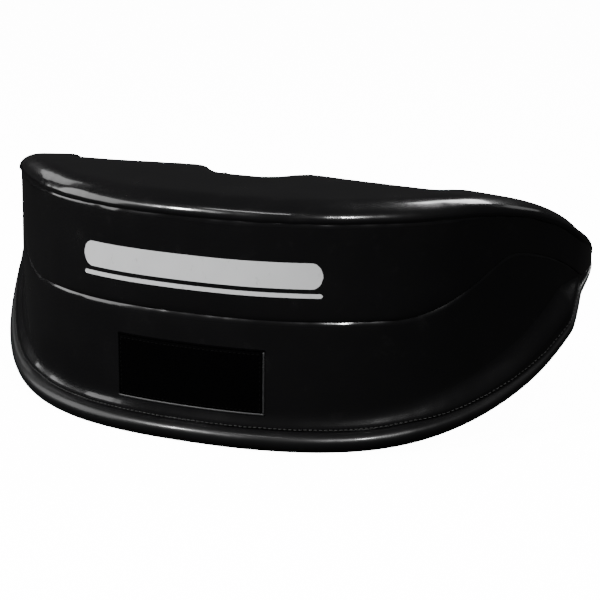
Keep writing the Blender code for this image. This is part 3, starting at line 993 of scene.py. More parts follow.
def make_closure(side, name, node, facing, look):
    offset = facing * (STRAP / 2 + CLOSURE_THICKNESS / 2 + STRAP_CLEAR / 2)
    angles = even(40, CLOSURE_FIRST, side.finish + CLOSURE_SHORT)
    path = [side.on_belt(angle, offset) for angle in angles]
    height = box_size(node).z
    strip = ribbon(name, path, height, side.middle, CLOSURE_THICKNESS, look)
    finish_piece(strip, side.word + "_belt", "loop_pile", node)
    face = STRAP / 2 + CLOSURE_THICKNESS + STRAP_CLEAR / 2
    lines = box_lines(lambda angle, z: side.on_face(angle, z, face, facing),
                      angles[0] - CLOSURE_INSET, angles[-1] + CLOSURE_INSET, height / 2 - STITCH_MARGIN,
                      16, False)
    finish_piece(stitches(name + "_stitches", lines, EDGE_STITCH), side.word + "_belt", "loop_pile")


TAB_CLEAR = 0.0005
TAB_STEP = 0.004
TAB_MARGIN = 0.003


def tab_foot(side):
    """Plan points of the tab on the wing, from the wing's end inward."""
    far_y = box_low(side.word + "_anchor").y
    points = []
    u = FULL_END
    while not points or points[-1].y > far_y:
        points.append(flat(Station(side.sign * u).body(side.middle, -TAB_CLEAR)))
        u -= TAB_STEP
    return points


def tab_path(side, foot, inward):
    """Middle line of the webbing: along the wing, out to the bar, round it and back."""
    run = side.tab_bar - foot[0]
    aim = run.normalized()
    across = Vector((-aim.y, aim.x))
    if across.dot(inward) < 0:
        across = -across
    near_layer = [place + inward * (STRAP / 2) for place in reversed(foot)]
    far_layer = [place + inward * (1.5 * STRAP + STRAP_CLEAR) for place in reversed(foot)]
    gap = STRAP / 2 + STRAP_CLEAR / 2
    for share in even(10)[1:]:
        middle = foot[0] + run * share + inward * (STRAP + STRAP_CLEAR / 2) * (1 - share)
        reach = gap + (EYE_PATH - gap) * smooth(share)
        near_layer.append(middle - across * reach)
        far_layer.append(middle + across * reach)
    eye = [side.tab_bar + (-across * cos(angle) + aim * sin(angle)) * EYE_PATH
           for angle in even(15, 0, pi)[1:-1]]
    return near_layer + eye + far_layer[::-1]


def along(points, reach):
    """Point at a distance along a line of points."""
    for near, far in zip(points, points[1:]):
        step = (far - near).length
        if reach <= step:
            return near.lerp(far, reach / step)
        reach -= step
    return points[-1]


def make_tab(side):
    """Webbing folded round the ring's bar and sewn to the wing's body side."""
    node = side.word + "_anchor"
    height = box_size(node).z
    foot = tab_foot(side)
    inward = -Station(side.sign * FULL_END).normal
    path = tab_path(side, foot, inward)
    tab = ribbon(side.word + "_tab_webbing", path, height, side.middle, STRAP, WEBBING)
    finish_piece(tab, "pad", "webbing", node)

    sewn = foot[::-1]
    length = distances(sewn)[-1]

    def spot(reach, z):
        place = along(sewn, reach) + inward * (2 * STRAP + STRAP_CLEAR)
        return Vector((place.x, place.y, side.middle + z)), Vector((inward.x, inward.y, 0))

    lines = box_lines(spot, TAB_MARGIN, length - TAB_MARGIN, height * BOX_HALF)
    finish_piece(stitches(side.word + "_tab_stitches", lines, STRAP_STITCH), "pad", "webbing")


# ---- ring and slider

def rounded_loop(half_x, half_z, corner, steps=5):
    points = []
    for quarter, (a, b) in enumerate(((1, 1), (-1, 1), (-1, -1), (1, -1))):
        for step in range(steps + 1):
            angle = (quarter + step / steps) * pi / 2
            points.append((a * (half_x - corner) + corner * cos(angle),
                           b * (half_z - corner) + corner * sin(angle)))
    return points


RING_CORNER = 0.005
WIRE_SIDES = 16


def make_ring(side):
    """Rectangular wire ring round the tab's bar and the belt's bar."""
    node = side.word + "_ring"
    half = box_size(node).z / 2 - WIRE_RADIUS
    centre = (side.belt_bar + side.tab_bar) / 2
    across = side.tab_bar - side.belt_bar
    half_across = across.length / 2
    across.normalize()
    side_way = Vector((-across.y, across.x, 0))
    spots = rounded_loop(half_across, half, RING_CORNER, 8)
    verts = []
    for i, (s, t) in enumerate(spots):
        plane = centre + across * s
        before, after = spots[i - 1], spots[(i + 1) % len(spots)]
        along = Vector((after[0] - before[0], after[1] - before[1])).normalized()
        out = Vector((across.x * along.y, across.y * along.y, -along.x))
        for angle in circle(WIRE_SIDES):
            reach = (out * cos(angle) + side_way * sin(angle)) * WIRE_RADIUS
            verts.append(Vector((plane.x, plane.y, side.middle + t)) + reach)
    faces = ring_faces(len(spots), WIRE_SIDES, joined=True)
    finish_piece(solid(node + "_wire", verts, faces, STEEL), node, "ring_steel", node)


SLIDER_WALL = 0.0024
SLIDER_SLOT = 0.0019
SLIDER_HALF = 0.007
SLIDER_CORNER = 0.002
SLIDER_STEPS = 14
SLIDER_PULLS = (0.0010, 0.0003)
RIB_DEPTH = 0.00035
SLOT_ROOM = 0.0008
SLOT_CORNER = 0.0006
SLOT_EDGE = 0.0004


def make_slider(side):
    """Moulded loop round the belt, with grip ribs and soft edges."""
    arm = flat(box_low("belt_slider") + box_size("belt_slider") / 2) - side.centre
    angle = atan2(abs(arm.x), arm.y)
    place = side.on_belt(angle)
    radial = side.radial(angle)
    tangent = side.tangent(angle)
    half_z = box_size("belt_slider").z / 2
    loops = []
    for step, t in enumerate(even(SLIDER_STEPS + 1, -SLIDER_HALF, SLIDER_HALF)):
        edge = min(step, SLIDER_STEPS - step)
        pull = SLIDER_PULLS[edge] if edge < len(SLIDER_PULLS) else RIB_DEPTH * (step % 2)
        loops.append((t, rounded_loop(SLIDER_SLOT + SLIDER_WALL - pull, half_z - pull, SLIDER_CORNER)))
    inside = rounded_loop(SLIDER_SLOT, side.height / 2 + SLOT_ROOM, SLOT_CORNER)
    loops += [(t, inside) for t in even(3, SLIDER_HALF - SLOT_EDGE, SLOT_EDGE - SLIDER_HALF)]
    verts = []
    for t, points in loops:
        for s, z in points:
            spot = place + radial * s + tangent * t
            verts.append((spot.x, spot.y, side.middle + z))
    faces = ring_faces(len(loops), len(inside), joined=True)
    slider = solid("belt_slider_loop", verts, faces, MOULDED, 55)
    finish_piece(slider, "slider", "moulded_plastic", "belt_slider")


# ---- cup and pocket

CUP_FLANGE = 0.006
CUP_WALL = 0.0022
LINER_GAP = 0.0012
LINER_THICKNESS = 0.0028
LINER_ROUND = 0.0006
CUP_SIDES = 72
CUP_POWER = 0.9
CUP_NARROWING = 0.10
RIM_SETBACK = 0.0025
RIM_ROUND = 0.0004
# Width and place past the rim of each ring round the flange
FLANGE_RINGS = ((0.0012, -RIM_ROUND), (CUP_FLANGE * 0.8, 0.0), (CUP_FLANGE, RIM_ROUND),
                (CUP_FLANGE, CUP_WALL - RIM_ROUND), (CUP_FLANGE * 0.8, CUP_WALL), (0.0, CUP_WALL))
QUILT_DEPTH = 0.0005
BOWL_END = 0.97
LINER_END = 0.94
LINER_RIM = 0.965
VENT_RADIUS = 0.0022
VENT_LENGTH = 0.05
VENTS = ((0, 0), (0, 0.017), (0, -0.017), (0.013, 0.009), (-0.013, 0.009), (0.013, -0.009),
         (-0.013, -0.009))


def revolve(name, rings, look):
    """Closed skin from rings of equal count, the first and last shrinking to a point."""
    verts = [rings[0][0]]
    sides = len(rings[1])
    for ring in rings[1:-1]:
        verts += ring
    verts.append(rings[-1][0])
    faces = []
    bands = len(rings) - 2
    for k in range(sides):
        m = (k + 1) % sides
        faces.append((0, 1 + k, 1 + m))
        for i in range(bands - 1):
            a, b = 1 + i * sides, 1 + (i + 1) * sides
            faces.append((a + k, b + k, b + m, a + m))
        last = 1 + (bands - 1) * sides
        faces.append((len(verts) - 1, last + m, last + k))
    return new_object(name, oriented(new_mesh(name, verts, faces)), look)


class Bowl:
    """Rings of the cup, from its deepest point (part 0) to its rim (part 1)."""

    def __init__(self):
        low, size = box_low("groin_cup"), box_size("groin_cup")
        self.middle_z = low.z + size.z / 2
        self.half_x = size.x / 2 - CUP_FLANGE
        self.half_z = size.z / 2 - CUP_FLANGE
        self.rim_y = low.y + size.y - RIM_SETBACK
        self.depth = self.rim_y - low.y

    def ring(self, part, shrink, push=0.0):
        reach = sin(part * pi / 2) ** CUP_POWER
        y = self.rim_y + push - (self.depth - shrink) * cos(part * pi / 2) ** CUP_POWER
        points = []
        for angle in circle(CUP_SIDES):
            narrow = 1 - CUP_NARROWING * reach * max(-sin(angle), 0) ** 2
            x = (self.half_x - shrink) * reach * cos(angle) * narrow
            z = (self.half_z - shrink) * reach * sin(angle)
            points.append(Vector((x, y, self.middle_z + z)))
        return points

    def flange(self, width, y):
        points = []
        for point in self.ring(1, 0):
            way = Vector((point.x, 0, point.z - self.middle_z)).normalized()
            points.append(Vector((point.x, self.rim_y + y, point.z)) + way * width)
        return points


def make_cup(bowl):
    parts = even(15, 0, BOWL_END)
    outside = [bowl.ring(part, 0) for part in parts]
    lip = [bowl.flange(width, y) for width, y in FLANGE_RINGS]
    inside = [bowl.ring(part, CUP_WALL) for part in reversed(parts)]
    cup = revolve("cup_shell", outside + lip + inside, MOULDED)
    cutters = []
    for x, z in VENTS:
        place = Matrix.Translation((x, bowl.rim_y - bowl.depth, bowl.middle_z + z))
        bm = bmesh.new()
        bmesh.ops.create_cone(bm, cap_ends=True, segments=20, radius1=VENT_RADIUS, radius2=VENT_RADIUS,
                              depth=VENT_LENGTH, matrix=place @ Matrix.Rotation(pi / 2, 4, "X"))
        mesh = bpy.data.meshes.new("vent")
        bm.to_mesh(mesh)
        bm.free()
        cutters.append(linked("vent", mesh))
        cup.modifiers.new("Vent", "BOOLEAN").object = cutters[-1]
    apply_modifiers(cup, 35)
    for cutter in cutters:
        bpy.data.objects.remove(cutter)
    finish_piece(cup, "cup", "moulded_plastic", "groin_cup")


def make_liner(bowl):
    face = CUP_WALL + LINER_GAP
    back = face + LINER_THICKNESS
    parts = even(13, 0, LINER_END)
    outer = [bowl.ring(part, face) for part in parts]
    edge = [bowl.ring(LINER_RIM, shrink) for shrink in (face + LINER_ROUND, back - LINER_ROUND)]
    inner = [bowl.ring(part, back, QUILT_DEPTH * abs(sin(part * 5 * pi))) for part in reversed(parts)]
    liner = revolve("cup_soft_liner", outer + edge + inner, LINER)
    finish_piece(smooth_shaded(liner), "cup", "liner", "cup_liner")


POCKET_THICKNESS = 0.0009
POCKET_SPAN = 0.75
POCKET_FLAT = 0.0455
POCKET_EASE = 0.009
POCKET_BULGE = 0.0012
POCKET_CLEAR = 0.0004
POCKET_CREASE = 0.0006
POCKET_FLOOR = 0.0014
POCKET_WALL = 0.0030
POCKET_GAP = 0.0006
FLOOR_GAP = 0.0003
BINDING_WIDTH = 0.007
BINDING_PROUD = 0.0012
BINDING_OVER = 0.0008
TAPE_LIFT = 0.00005
TAPE_FACE = 0.00065
TAPE_STITCH = 0.0022
HEM_STITCHES = (0.004, 0.010)
BACKWARD = Vector((0, 1, 0))


def body_line():
    """Plan points of the body side, left to right."""
    return [flat(Station(u).body(0)) for u in even(241, -POCKET_SPAN, POCKET_SPAN)]


def body_y(line, x):
    for a, b in zip(line, line[1:]):
        if a.x <= x <= b.x:
            return a.y + (b.y - a.y) * (x - a.x) / (b.x - a.x)
    return line[-1].y


def pocket_column(line, x, low, high):
    """Points up the pocket's cloth at one x: its floor, then its wall; and the wall's y."""
    hem = body_y(line, x) + POCKET_CLEAR + POCKET_THICKNESS
    bulge = POCKET_BULGE * (1 - clamp(abs(x) / POCKET_FLAT) ** 2)
    lifted = high.y + POCKET_CLEAR + bulge
    share = smooth((abs(x) - POCKET_FLAT) / POCKET_EASE)
    y = lifted + (hem - lifted) * share
    floor = even(8, min(hem + POCKET_GAP, y - POCKET_GAP), y - POCKET_BULGE * (1 - share) - FLOOR_GAP)
    column = [Vector((x, spot, low.z + POCKET_FLOOR)) for spot in floor]
    for z in even(26, low.z + POCKET_WALL, high.z):
        relax = POCKET_CREASE * noise.noise(Vector((x * 60, z * 45, 1.5))) * (1 - share)
        column.append(Vector((x, y + relax, z)))
    return column, y


def make_pocket():
    low, high = box_low("cup_pocket"), box_high("cup_pocket")
    line = body_line()
    columns, path = [], []
    for x in even(97, -high.x, high.x):
        column, y = pocket_column(line, x, low, high)
        columns.append(column)
        path.append(Vector((x, y + TAPE_LIFT)))
    verts = [point for column in columns for point in column]
    faces = grid_faces(len(columns), len(columns[0]))
    pocket = new_object("pocket_cloth", new_mesh("pocket_cloth", verts, faces), LINER)
    face_out(pocket.data, BACKWARD)
    thicken(pocket, POCKET_THICKNESS)
    finish_piece(pocket, "pad", "liner", "cup_pocket")

    tape = ribbon("pocket_binding", [p - Vector((0, POCKET_THICKNESS / 2)) for p in path],
                  BINDING_WIDTH, high.z - BINDING_WIDTH / 2 + BINDING_OVER,
                  POCKET_THICKNESS + BINDING_PROUD, BINDING)
    finish_piece(tape, "pad", "liner")

    hem_z = high.z - BINDING_WIDTH
    lines = [[(Vector((p.x, p.y + TAPE_FACE, hem_z + TAPE_STITCH)), BACKWARD) for p in path]]
    for x in [way * (high.x - back) for way in (-1, 1) for back in HEM_STITCHES]:
        y = body_y(line, x) + POCKET_CLEAR + POCKET_THICKNESS
        lines.append([(Vector((x, y, z)), BACKWARD)
                      for z in even(20, low.z + HEM_STITCHES[0], hem_z - STITCH_MARGIN)])
    finish_piece(stitches("pocket_stitches", lines, EDGE_STITCH), "pad", "liner")


def face_out(mesh, way):
    """Turns the faces so that they look along way on the whole."""
    total = Vector((0, 0, 0))
    for face in mesh.polygons:
        total += face.normal * face.area
    if total.dot(way) < 0:
        mesh.flip_normals()


# ---- filling

SOFT_PIECES = ("roll_foam", "top_foam", "front_foam")
CORE_PIECES = ("core_slab_bottom", "core_slab_middle", "core_slab_top", "left_wing_foam",
               "right_wing_foam")
FOAMS = {"soft_foam": SOFT_PIECES, "dense_foam": ("dense_foam",), "core_foam": CORE_PIECES}
LONG_EDGE = 0.012
WELD = 0.00001
DENT_DEPTH = 0.00022
COARSE_DENTS = 160
FINE_DENTS = 420
CORD_THIN = 0.0004
CORD_END = 0.94
CORD_ROOM = 0.0017
CORD_SIDES = 12


def make_bead_cord(skin):
    """Foam cord inside the bead, thinning towards the wing ends as the bead does."""
    rings = []
    for cut in skin.cuts:
        if abs(cut.u) > CORD_END:
            continue
        half_high = max(cut.bead_radius - CORD_ROOM, CORD_THIN)
        half_wide = max(cut.bead_proud - CORD_ROOM, CORD_THIN)
        middle = cut.full_flare + cut.bead_proud - CORD_ROOM - half_wide
        ring = []
        for angle in circle(CORD_SIDES):
            z = cut.low + cut.bead_radius + half_high * sin(angle)
            ring.append(cut.wall(z, -middle - half_wide * cos(angle)))
        rings.append(ring)
    ends = [[sum(ring, Vector()) / CORD_SIDES] for ring in (rings[0], rings[-1])]
    piece = revolve("bead_cord_cut", [ends[0]] + rings + [ends[1]], FOAM_LOOKS["soft_foam"])
    finish_piece(piece, "pad", "soft_foam", "bead_cord")


def cut_foam(node, kind):
    """The frame's solid with softened edges and an uneven cut face."""
    piece = new_object(node + "_cut", frame["nodes"][node].data.copy(), FOAM_LOOKS[kind])
    bm = bmesh.new()
    bm.from_mesh(piece.data)
    bmesh.ops.remove_doubles(bm, verts=bm.verts, dist=WELD)
    bmesh.ops.dissolve_limit(bm, angle_limit=radians(0.5), verts=bm.verts, edges=bm.edges)
    bmesh.ops.triangulate(bm, faces=bm.faces)
    long_edges = [edge for edge in bm.edges if edge.calc_length() > LONG_EDGE]
    bmesh.ops.subdivide_edges(bm, edges=long_edges, cuts=2)
    bmesh.ops.triangulate(bm, faces=bm.faces)
    bm.normal_update()
    for vert in bm.verts:
        dent = abs(noise.noise(vert.co * COARSE_DENTS)) + 0.5 * abs(noise.noise(vert.co * FINE_DENTS))
        vert.co -= vert.normal * (DENT_DEPTH * dent)
    bm.to_mesh(piece.data)
    bm.free()
    finish_piece(smooth_shaded(piece, 35), "pad", kind, node)


# ---- materials

# Sockets of the colour mix node
MIX_DARK = 6
MIX_LIGHT = 7
MIX_RESULT = 2


def grey(level, blue=0.0):
    return (level, level, level + blue)


class Look:
    """A Principled material with short calls for its texture nodes."""

    def __init__(self, name, roughness=0.5, metallic=0.0, **inputs):
        self.material = bpy.data.materials.new(name)
        self.material.use_nodes = True
        self.tree = self.material.node_tree
        self.shader = self.tree.nodes["Principled BSDF"]
        self.put("Roughness", roughness)
        self.put("Metallic", metallic)
        for key, value in inputs.items():
            self.put(key.replace("_", " "), value)
        coords = self.tree.nodes.new("ShaderNodeTexCoord")
        self.place = coords.outputs["Object"]
        self.uv = coords.outputs["UV"]

    def feed(self, socket, value):
        """Sets a socket to a number, a colour or another node's output."""
        if hasattr(value, "is_output"):
            self.tree.links.new(value, socket)
        elif socket.type == "RGBA":
            socket.default_value = (*value, 1.0)
        else:
            socket.default_value = value

    def put(self, name, value):
        self.feed(self.shader.inputs[name], value)

    def node(self, kind, inputs, **settings):
        item = self.tree.nodes.new(kind)
        for key, value in settings.items():
            setattr(item, key, value)
        for key, value in inputs.items():
            self.feed(item.inputs[key], value)
        return item

    def stretched(self, scale):
        return self.node("ShaderNodeMapping", {"Vector": self.place, "Scale": scale}).outputs[0]

    def noise(self, scale, detail=2.0, place=None, roughness=0.5):
        inputs = {"Vector": place or self.place, "Scale": scale, "Detail": detail,
                  "Roughness": roughness}
        return self.node("ShaderNodeTexNoise", inputs).outputs["Fac"]

    def cells(self, scale, feature="F1"):
        inputs = {"Vector": self.place, "Scale": scale}
        return self.node("ShaderNodeTexVoronoi", inputs, feature=feature).outputs["Distance"]

    def fit(self, value, from_low, from_high, low=0.0, high=1.0):
        inputs = {"Value": value, "From Min": from_low, "From Max": from_high,
                  "To Min": low, "To Max": high}
        return self.node("ShaderNodeMapRange", inputs).outputs["Result"]

    def math(self, operation, a, b=0.0):
        return self.node("ShaderNodeMath", {0: a, 1: b}, operation=operation).outputs[0]

    def times(self, a, b):
        return self.math("MULTIPLY", a, b)

    def plus(self, a, b):
        return self.math("ADD", a, b)

    def blend(self, share, dark, light):
        """Colour between two colours."""
        inputs = {0: share, MIX_DARK: dark, MIX_LIGHT: light}
        return self.node("ShaderNodeMix", inputs, data_type="RGBA").outputs[MIX_RESULT]

    def colour(self, share, dark, light):
        self.put("Base Color", self.blend(share, dark, light))

    def roughen(self, scale, detail, low, high, top=0.7):
        """Roughness that drifts between two values."""
        self.put("Roughness", self.fit(self.noise(scale, detail), 0.3, top, low, high))

    def bump(self, height, distance, strength=1.0):
        """Adds a bump over those already there."""
        inputs = {"Height": height, "Distance": distance, "Strength": strength}
        before = self.shader.inputs["Normal"].links
        if before:
            inputs["Normal"] = before[0].from_socket
        self.put("Normal", self.node("ShaderNodeBump", inputs).outputs[0])

    def grain(self, scale, detail, distance, strength):
        self.bump(self.noise(scale, detail), distance, strength)

    def split(self, source):
        return self.node("ShaderNodeSeparateXYZ", {"Vector": source}).outputs

    def ridges(self, along, period):
        return self.math("SINE", self.times(along, 2 * pi / period))

    def waves(self, axis, period, source=None):
        """Sine ridges along one axis, period in metres."""
        return self.ridges(self.split(source or self.place)[axis], period)


def leather_look(name, dull, polish):
    """Smooth black synthetic leather: fine pebble grain, slow ripples, faint scuffs."""
    look = Look(name, Specular_IOR_Level=0.26, Coat_Weight=polish, Coat_Roughness=0.08)
    rubbed = look.fit(look.noise(70, 5, roughness=0.65), 0.60, 0.80)
    base = look.blend(look.noise(9, 3), grey(0.0030, 0.0003), (0.0050, 0.0049, 0.0051))
    look.colour(look.times(rubbed, 0.10), base, (0.028, 0.027, 0.027))
    smear = look.fit(look.noise(36, 3), 0.3, 0.7, dull, dull + 0.08)
    look.put("Roughness", look.plus(smear, look.times(rubbed, 0.04)))
    look.grain(55, 2, 0.0011, 0.22)
    look.bump(look.cells(1250, "SMOOTH_F1"), 0.00006, 0.32)
    look.grain(2900, 2, 0.00003, 0.25)
    return look.material


def backing_look():
    """Matt black woven cloth of the body side: a fine basket weave with lint."""
    look = Look("backing_cloth", 0.82, Specular_IOR_Level=0.25, Sheen_Weight=0.25)
    weave = [look.times(look.waves(2, 0.0011), look.waves(axis, 0.0011)) for axis in (0, 1)]
    both = look.plus(*weave)
    lint = look.fit(look.noise(420, 4), 0.62, 0.75, 0.0, 0.5)
    base = look.blend(look.fit(both, -1.2, 1.2), grey(0.006, 0.0005), grey(0.016, 0.001))
    look.colour(lint, base, grey(0.05, 0.002))
    look.roughen(30, 3, 0.74, 0.9)
    look.bump(both, 0.00022, 0.6)
    look.grain(900, 3, 0.00008, 0.4)
    return look.material


def base_look():
    """Coated base cloth: coarse twill lines under a thin matt coat."""
    look = Look("base_cloth", 0.6, Specular_IOR_Level=0.3)
    place = look.split(look.place)
    twill = look.ridges(look.plus(place[0], place[1]), 0.0014)
    worn = look.fit(look.noise(26, 4), 0.5, 0.75, 0.0, 0.7)
    base = look.blend(look.fit(twill, -1, 1), grey(0.007), grey(0.013))
    look.colour(worn, base, (0.030, 0.029, 0.028))
    look.roughen(60, 3, 0.5, 0.72)
    look.bump(twill, 0.00016, 0.5)
    look.grain(1200, 2, 0.00006, 0.4)
    return look.material


def pile_look():
    """Loop pile that soaks up nearly all light."""
    look = Look("loop_pile", 1.0, Specular_IOR_Level=0.0)
    fuzz = look.noise(2400, 4)
    look.colour(look.fit(fuzz, 0.35, 0.75), grey(0.0006, 0.0001), grey(0.0022, 0.0001))
    look.bump(look.cells(1500), 0.0003, 0.9)
    look.bump(fuzz, 0.0002, 0.7)
    return look.material


def hook_look():
    """Hook strip: ranks of small moulded hooks."""
    look = Look("hook_strip", 0.55, Specular_IOR_Level=0.35)
    ranks = look.times(look.waves(0, 0.0016, look.uv), look.waves(1, 0.0013, look.uv))
    look.colour(look.fit(ranks, -1, 1), grey(0.004), grey(0.030, 0.001))
    look.bump(ranks, 0.0004, 0.9)
    look.grain(1800, 2, 0.0001, 0.4)
    return look.material


def selvedge_highlight_look():
    """Woven edge of the patch, catching a little light; its light grey colour is a painted highlight,
    put only on the right and bottom edges.
    """
    look = Look("patch_edge", 0.5, Specular_IOR_Level=0.5)
    ribs = look.noise(1, 2, look.stretched((1100, 1100, 1100)))
    look.colour(ribs, grey(0.012, 0.0005), grey(0.045, 0.001))
    look.bump(ribs, 0.0002, 0.6)
    return look.material


def print_look():
    """Pale screen print with a slightly uneven, rubbed surface."""
    look = Look("pale_print", 0.38, Specular_IOR_Level=0.4)
    wear = look.fit(look.noise(1, 5, look.stretched((260, 260, 120)), 0.65), 0.60, 0.74, 0.0, 0.8)
    base = look.blend(look.noise(60, 3), (0.50, 0.505, 0.51), (0.58, 0.585, 0.59))
    look.colour(wear, base, grey(0.30, 0.005))
    look.roughen(90, 3, 0.30, 0.46)
    look.grain(1400, 3, 0.00005, 0.5)
    return look.material


def thread_look(name, light, shine):
    """Twisted bonded thread."""
    look = Look(name, 0.8 - shine, Specular_IOR_Level=shine)
    twist = look.noise(3600, 1)
    look.colour(twist, grey(light * 0.25), grey(light))
    look.bump(twist, 0.00012, 0.8)
    return look.material


def webbing_look():
    """Polyester webbing: chevron weave along the strap, ribbed across."""
    look = Look("webbing", 0.62, Specular_IOR_Level=0.35, Sheen_Weight=0.15)
    place = look.split(look.uv)
    folded = look.math("PINGPONG", place[1], 0.0032)
    chevron = look.ridges(look.plus(look.times(folded, 1.1), place[0]), 0.0017)
    weave = look.plus(chevron, look.times(look.waves(1, 0.0011, look.uv), 0.6))
    dusty = look.fit(look.noise(240, 4), 0.58, 0.75, 0, 0.5)
    base = look.blend(look.fit(weave, -1.6, 1.6), grey(0.005, 0.0005), grey(0.021, 0.001))
    look.colour(dusty, base, grey(0.045, 0.001))
    look.bump(weave, 0.0003, 0.7)
    look.grain(1500, 3, 0.0001, 0.4)
    return look.material


def steel_look():
    """Nickel-plated wire with fine draw lines and dull spots."""
    look = Look("plated_steel", 0.2, 1.0)
    spots = look.fit(look.noise(230, 4), 0.55, 0.8)
    look.colour(spots, (0.62, 0.61, 0.59), (0.38, 0.37, 0.35))
    look.roughen(90, 3, 0.14, 0.34, 0.75)
    look.bump(look.noise(1, 3, look.stretched((2600, 2600, 180))), 0.00004, 0.3)
    return look.material


def moulded_look():
    """Black moulded plastic with a fine spark texture."""
    look = Look("moulded_plastic", 0.42, Specular_IOR_Level=0.45)
    look.colour(look.noise(20, 3), grey(0.016, 0.001), grey(0.026, 0.001))
    look.roughen(50, 4, 0.34, 0.52, 0.75)
    look.grain(1900, 3, 0.00008, 0.5)
    look.grain(130, 2, 0.0002, 0.15)
    return look.material


def liner_look():
    """Brushed knit of the pocket and the cup's liner."""
    look = Look("liner_cloth", 0.88, Specular_IOR_Level=0.2, Sheen_Weight=0.3)
    knit = look.times(look.waves(0, 0.0014), look.waves(2, 0.0009))
    both = look.plus(knit, look.times(look.noise(700, 4), 0.8))
    look.colour(look.fit(both, -0.8, 1.4), grey(0.008, 0.001), grey(0.028, 0.002))
    look.bump(both, 0.0002, 0.6)
    return look.material


def foam_look(name, dark, light, cell):
    """Cut foam: open or closed cells of one size, a little dusty."""
    look = Look(name, 0.92, Specular_IOR_Level=0.15)
    cells = look.cells(1 / cell)
    look.colour(look.fit(cells, 0.1, 0.7), light, dark)
    look.bump(cells, cell * 0.4, 0.7)
    look.grain(60, 3, 0.0006, 0.3)
    return look.material


def plate_look():
    """Translucent-white sheet plastic with scratches."""
    look = Look("plate_plastic", 0.4, Specular_IOR_Level=0.45)
    marks = look.fit(look.noise(1, 5, look.stretched((40, 40, 700))), 0.6, 0.7, 0, 0.6)
    look.colour(marks, (0.72, 0.72, 0.70), (0.58, 0.58, 0.57))
    look.roughen(80, 3, 0.32, 0.5)
    look.grain(500, 2, 0.0001, 0.3)
    return look.material


# ---- stage, light and camera

AZIMUTH = 0.400
ELEVATION = 0.258
CAMERA_ROLL = 0.011
DISTANCE = 1.379
LENS = 113.6
SENSOR = 36
NEAR_CLIP = 0.05
TARGET = Vector((0, PLAN_Y, 0.0441))
SHIFT = (-0.0211, -0.0030)


def view_axes(azimuth, elevation):
    back = Vector((sin(azimuth) * cos(elevation), -cos(azimuth) * cos(elevation), sin(elevation)))
    right = Vector((cos(azimuth), sin(azimuth), 0))
    return back, right, back.cross(right)


def make_camera():
    back, right, up = view_axes(AZIMUTH, ELEVATION)
    data = bpy.data.cameras.new("camera")
    data.lens = LENS
    data.sensor_width = SENSOR
    data.shift_x, data.shift_y = SHIFT
    data.clip_start = NEAR_CLIP
    camera = linked("camera", data)
    turned_right = right * cos(CAMERA_ROLL) + up * sin(CAMERA_ROLL)
    turned_up = up * cos(CAMERA_ROLL) - right * sin(CAMERA_ROLL)
    rows = Matrix((turned_right, turned_up, back)).transposed().to_4x4()
    camera.matrix_world = Matrix.Translation(TARGET + back * DISTANCE) @ rows
    bpy.context.scene.camera = camera


# The floor and the world are white to the camera and dark to the covers, which stay black
WHITE = 14.0
FLOOR_HALF = 6.0
FLOOR_DROP = 0.0004


def make_floor():
    look = Look("pale_floor", 0.6, Specular_IOR_Level=0.2)
    look.colour(look.noise(2, 2), grey(0.80), grey(0.84))
    look.put("Emission Color", grey(1.0))
    look.put("Emission Strength", WHITE)
    dark = look.node("ShaderNodeBsdfDiffuse", {"Color": grey(0.012)}).outputs[0]
    camera_ray = look.node("ShaderNodeLightPath", {}).outputs["Is Camera Ray"]
    shown = look.node("ShaderNodeMixShader", {0: camera_ray, 1: dark, 2: look.shader.outputs[0]})
    output = next(item for item in look.tree.nodes if item.type == "OUTPUT_MATERIAL")
    look.feed(output.inputs["Surface"], shown.outputs[0])
    corners = [(x, y, -FLOOR_DROP) for x, y in ((-1, -1), (1, -1), (1, 1), (-1, 1))]
    corners = [(x * FLOOR_HALF, y * FLOOR_HALF, z) for x, y, z in corners]
    new_object("floor", new_mesh("floor", corners, [(0, 1, 2, 3)]), look.material)


def make_world():
    world = bpy.data.worlds.new("studio")
    bpy.context.scene.world = world
    world.use_nodes = True
    tree = world.node_tree
    mix = tree.nodes.new("ShaderNodeMix")
    mix.data_type = "RGBA"
    mix.inputs[MIX_DARK].default_value = (0.028, 0.028, 0.0285, 1)
    mix.inputs[MIX_LIGHT].default_value = (WHITE, WHITE, WHITE, 1)
    path = tree.nodes.new("ShaderNodeLightPath")
    tree.links.new(path.outputs["Is Camera Ray"], mix.inputs[0])
    tree.links.new(mix.outputs[MIX_RESULT], tree.nodes["Background"].inputs["Color"])


# name, place, aim, width, height, watts
LIGHTS = (
    ("front_left", (-0.70, -1.06, 1.03), (0, -0.04, 0.14), 0.09, 0.19, 26.0),
    ("front_right", (0.75, -0.90, 1.12), (0.03, -0.04, 0.14), 0.09, 0.15, 21.0),
    ("overhead", (-0.20, -0.62, 1.32), (0, -0.02, 0.14), 0.60, 0.10, 2.6),
    ("left_fill", (-1.30, -0.45, 0.70), (0, 0.0, 0.10), 1.20, 0.90, 15.0),
    ("back_left", (-1.60, 0.90, 1.10), (0, 0.08, 0.10), 0.60, 0.50, 1.6),
    ("back_right", (1.20, 1.30, 1.10), (0, 0.08, 0.10), 0.60, 0.50, 1.1),
    ("body_side", (0.40, 0.95, 1.30), (0, 0.10, 0.07), 0.60, 0.40, 16.0),
)


def make_lights():
    for name, place, aim, width, height, watts in LIGHTS:
        data = bpy.data.lights.new(name, "AREA")
        data.shape = "RECTANGLE"
        data.size = width
        data.size_y = height
        data.energy = watts
        light = linked(name, data)
        light.location = place
        light.rotation_euler = (Vector(aim) - Vector(place)).to_track_quat("-Z", "Y").to_euler()


# ---- build

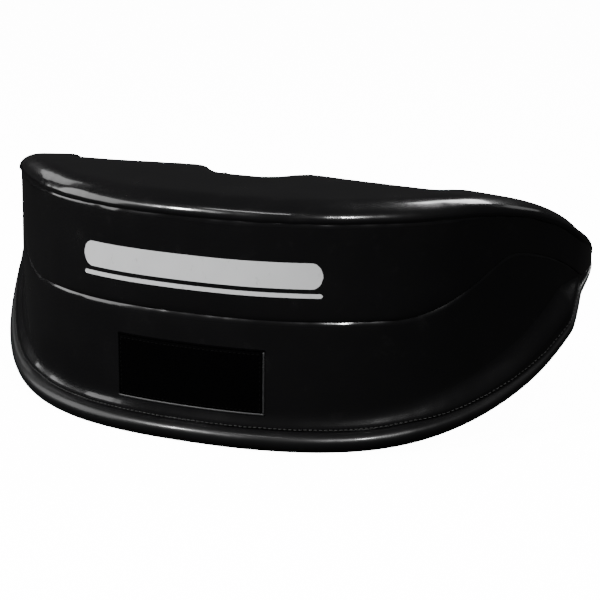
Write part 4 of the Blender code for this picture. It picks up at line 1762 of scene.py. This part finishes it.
LEATHER = leather_look("synthetic_leather", 0.19, 0.60)
BEAD_LEATHER = leather_look("bead_leather", 0.30, 0.12)
BACKING = backing_look()
BASE_CLOTH = base_look()
PILE = pile_look()
HOOKS = hook_look()
# Lighter woven edge: a painted highlight on the patch's right and bottom edges.
SELVEDGE_HIGHLIGHT = selvedge_highlight_look()
PRINT = print_look()
THREAD = thread_look("sewing_thread", 0.030, 0.3)
BLACK_THREAD = thread_look("black_thread", 0.004, 0.03)
WEBBING = webbing_look()
STEEL = steel_look()
MOULDED = moulded_look()
LINER = liner_look()
BINDING = webbing_look()
FOAM_LOOKS = {
    "soft_foam": foam_look("soft_foam", (0.55, 0.52, 0.44), (0.78, 0.76, 0.69), 0.0009),
    "dense_foam": foam_look("dense_foam", (0.06, 0.065, 0.08), (0.13, 0.14, 0.16), 0.0006),
    "core_foam": foam_look("core_foam", (0.42, 0.43, 0.45), (0.60, 0.61, 0.63), 0.0012),
}


# Piece, panel of the skin, look, slot and CAD node of each cover
COVERS = (
    ("top_cover", "top", LEATHER, "cover", "top_panel"),
    ("upper_front_cover", "upper", LEATHER, "cover", "upper_front_panel"),
    ("lower_front_cover", "lower", LEATHER, "cover", "lower_front_panel"),
    ("bead_cover", "bead", BEAD_LEATHER, "cover", "bottom_bead"),
    ("base_cover", "base", BASE_CLOTH, "backing", "base_panel"),
    ("body_side_cover", "back", BACKING, "backing", "back_panel"),
)


def build():
    skin = Skin()
    inflate(skin)
    pucker(skin)
    skin.find_normals()
    for cover in COVERS:
        cover_piece(skin, *cover)
    make_cover_stitches(skin)
    make_patch(skin)
    make_mark(skin)
    for word in ("left", "right"):
        side = Side(word)
        make_belt_half(side)
        make_tab(side)
        make_ring(side)
        if word == "left":
            make_closure(side, "loop_strip", "belt_loop_strip", 1, PILE)
            make_slider(side)
        else:
            make_closure(side, "hook_strip", "belt_hook_strip", -1, HOOKS)
    bowl = Bowl()
    make_cup(bowl)
    make_liner(bowl)
    make_pocket()
    for kind, nodes in FOAMS.items():
        for node in nodes:
            cut_foam(node, kind)
    make_bead_cord(skin)
    plate = frame["nodes"]["spreader_plate"]
    plate.data.materials.clear()
    plate.data.materials.append(plate_look())


build()
make_floor()
make_world()
make_lights()
make_camera()

bpy.context.view_layer.update()
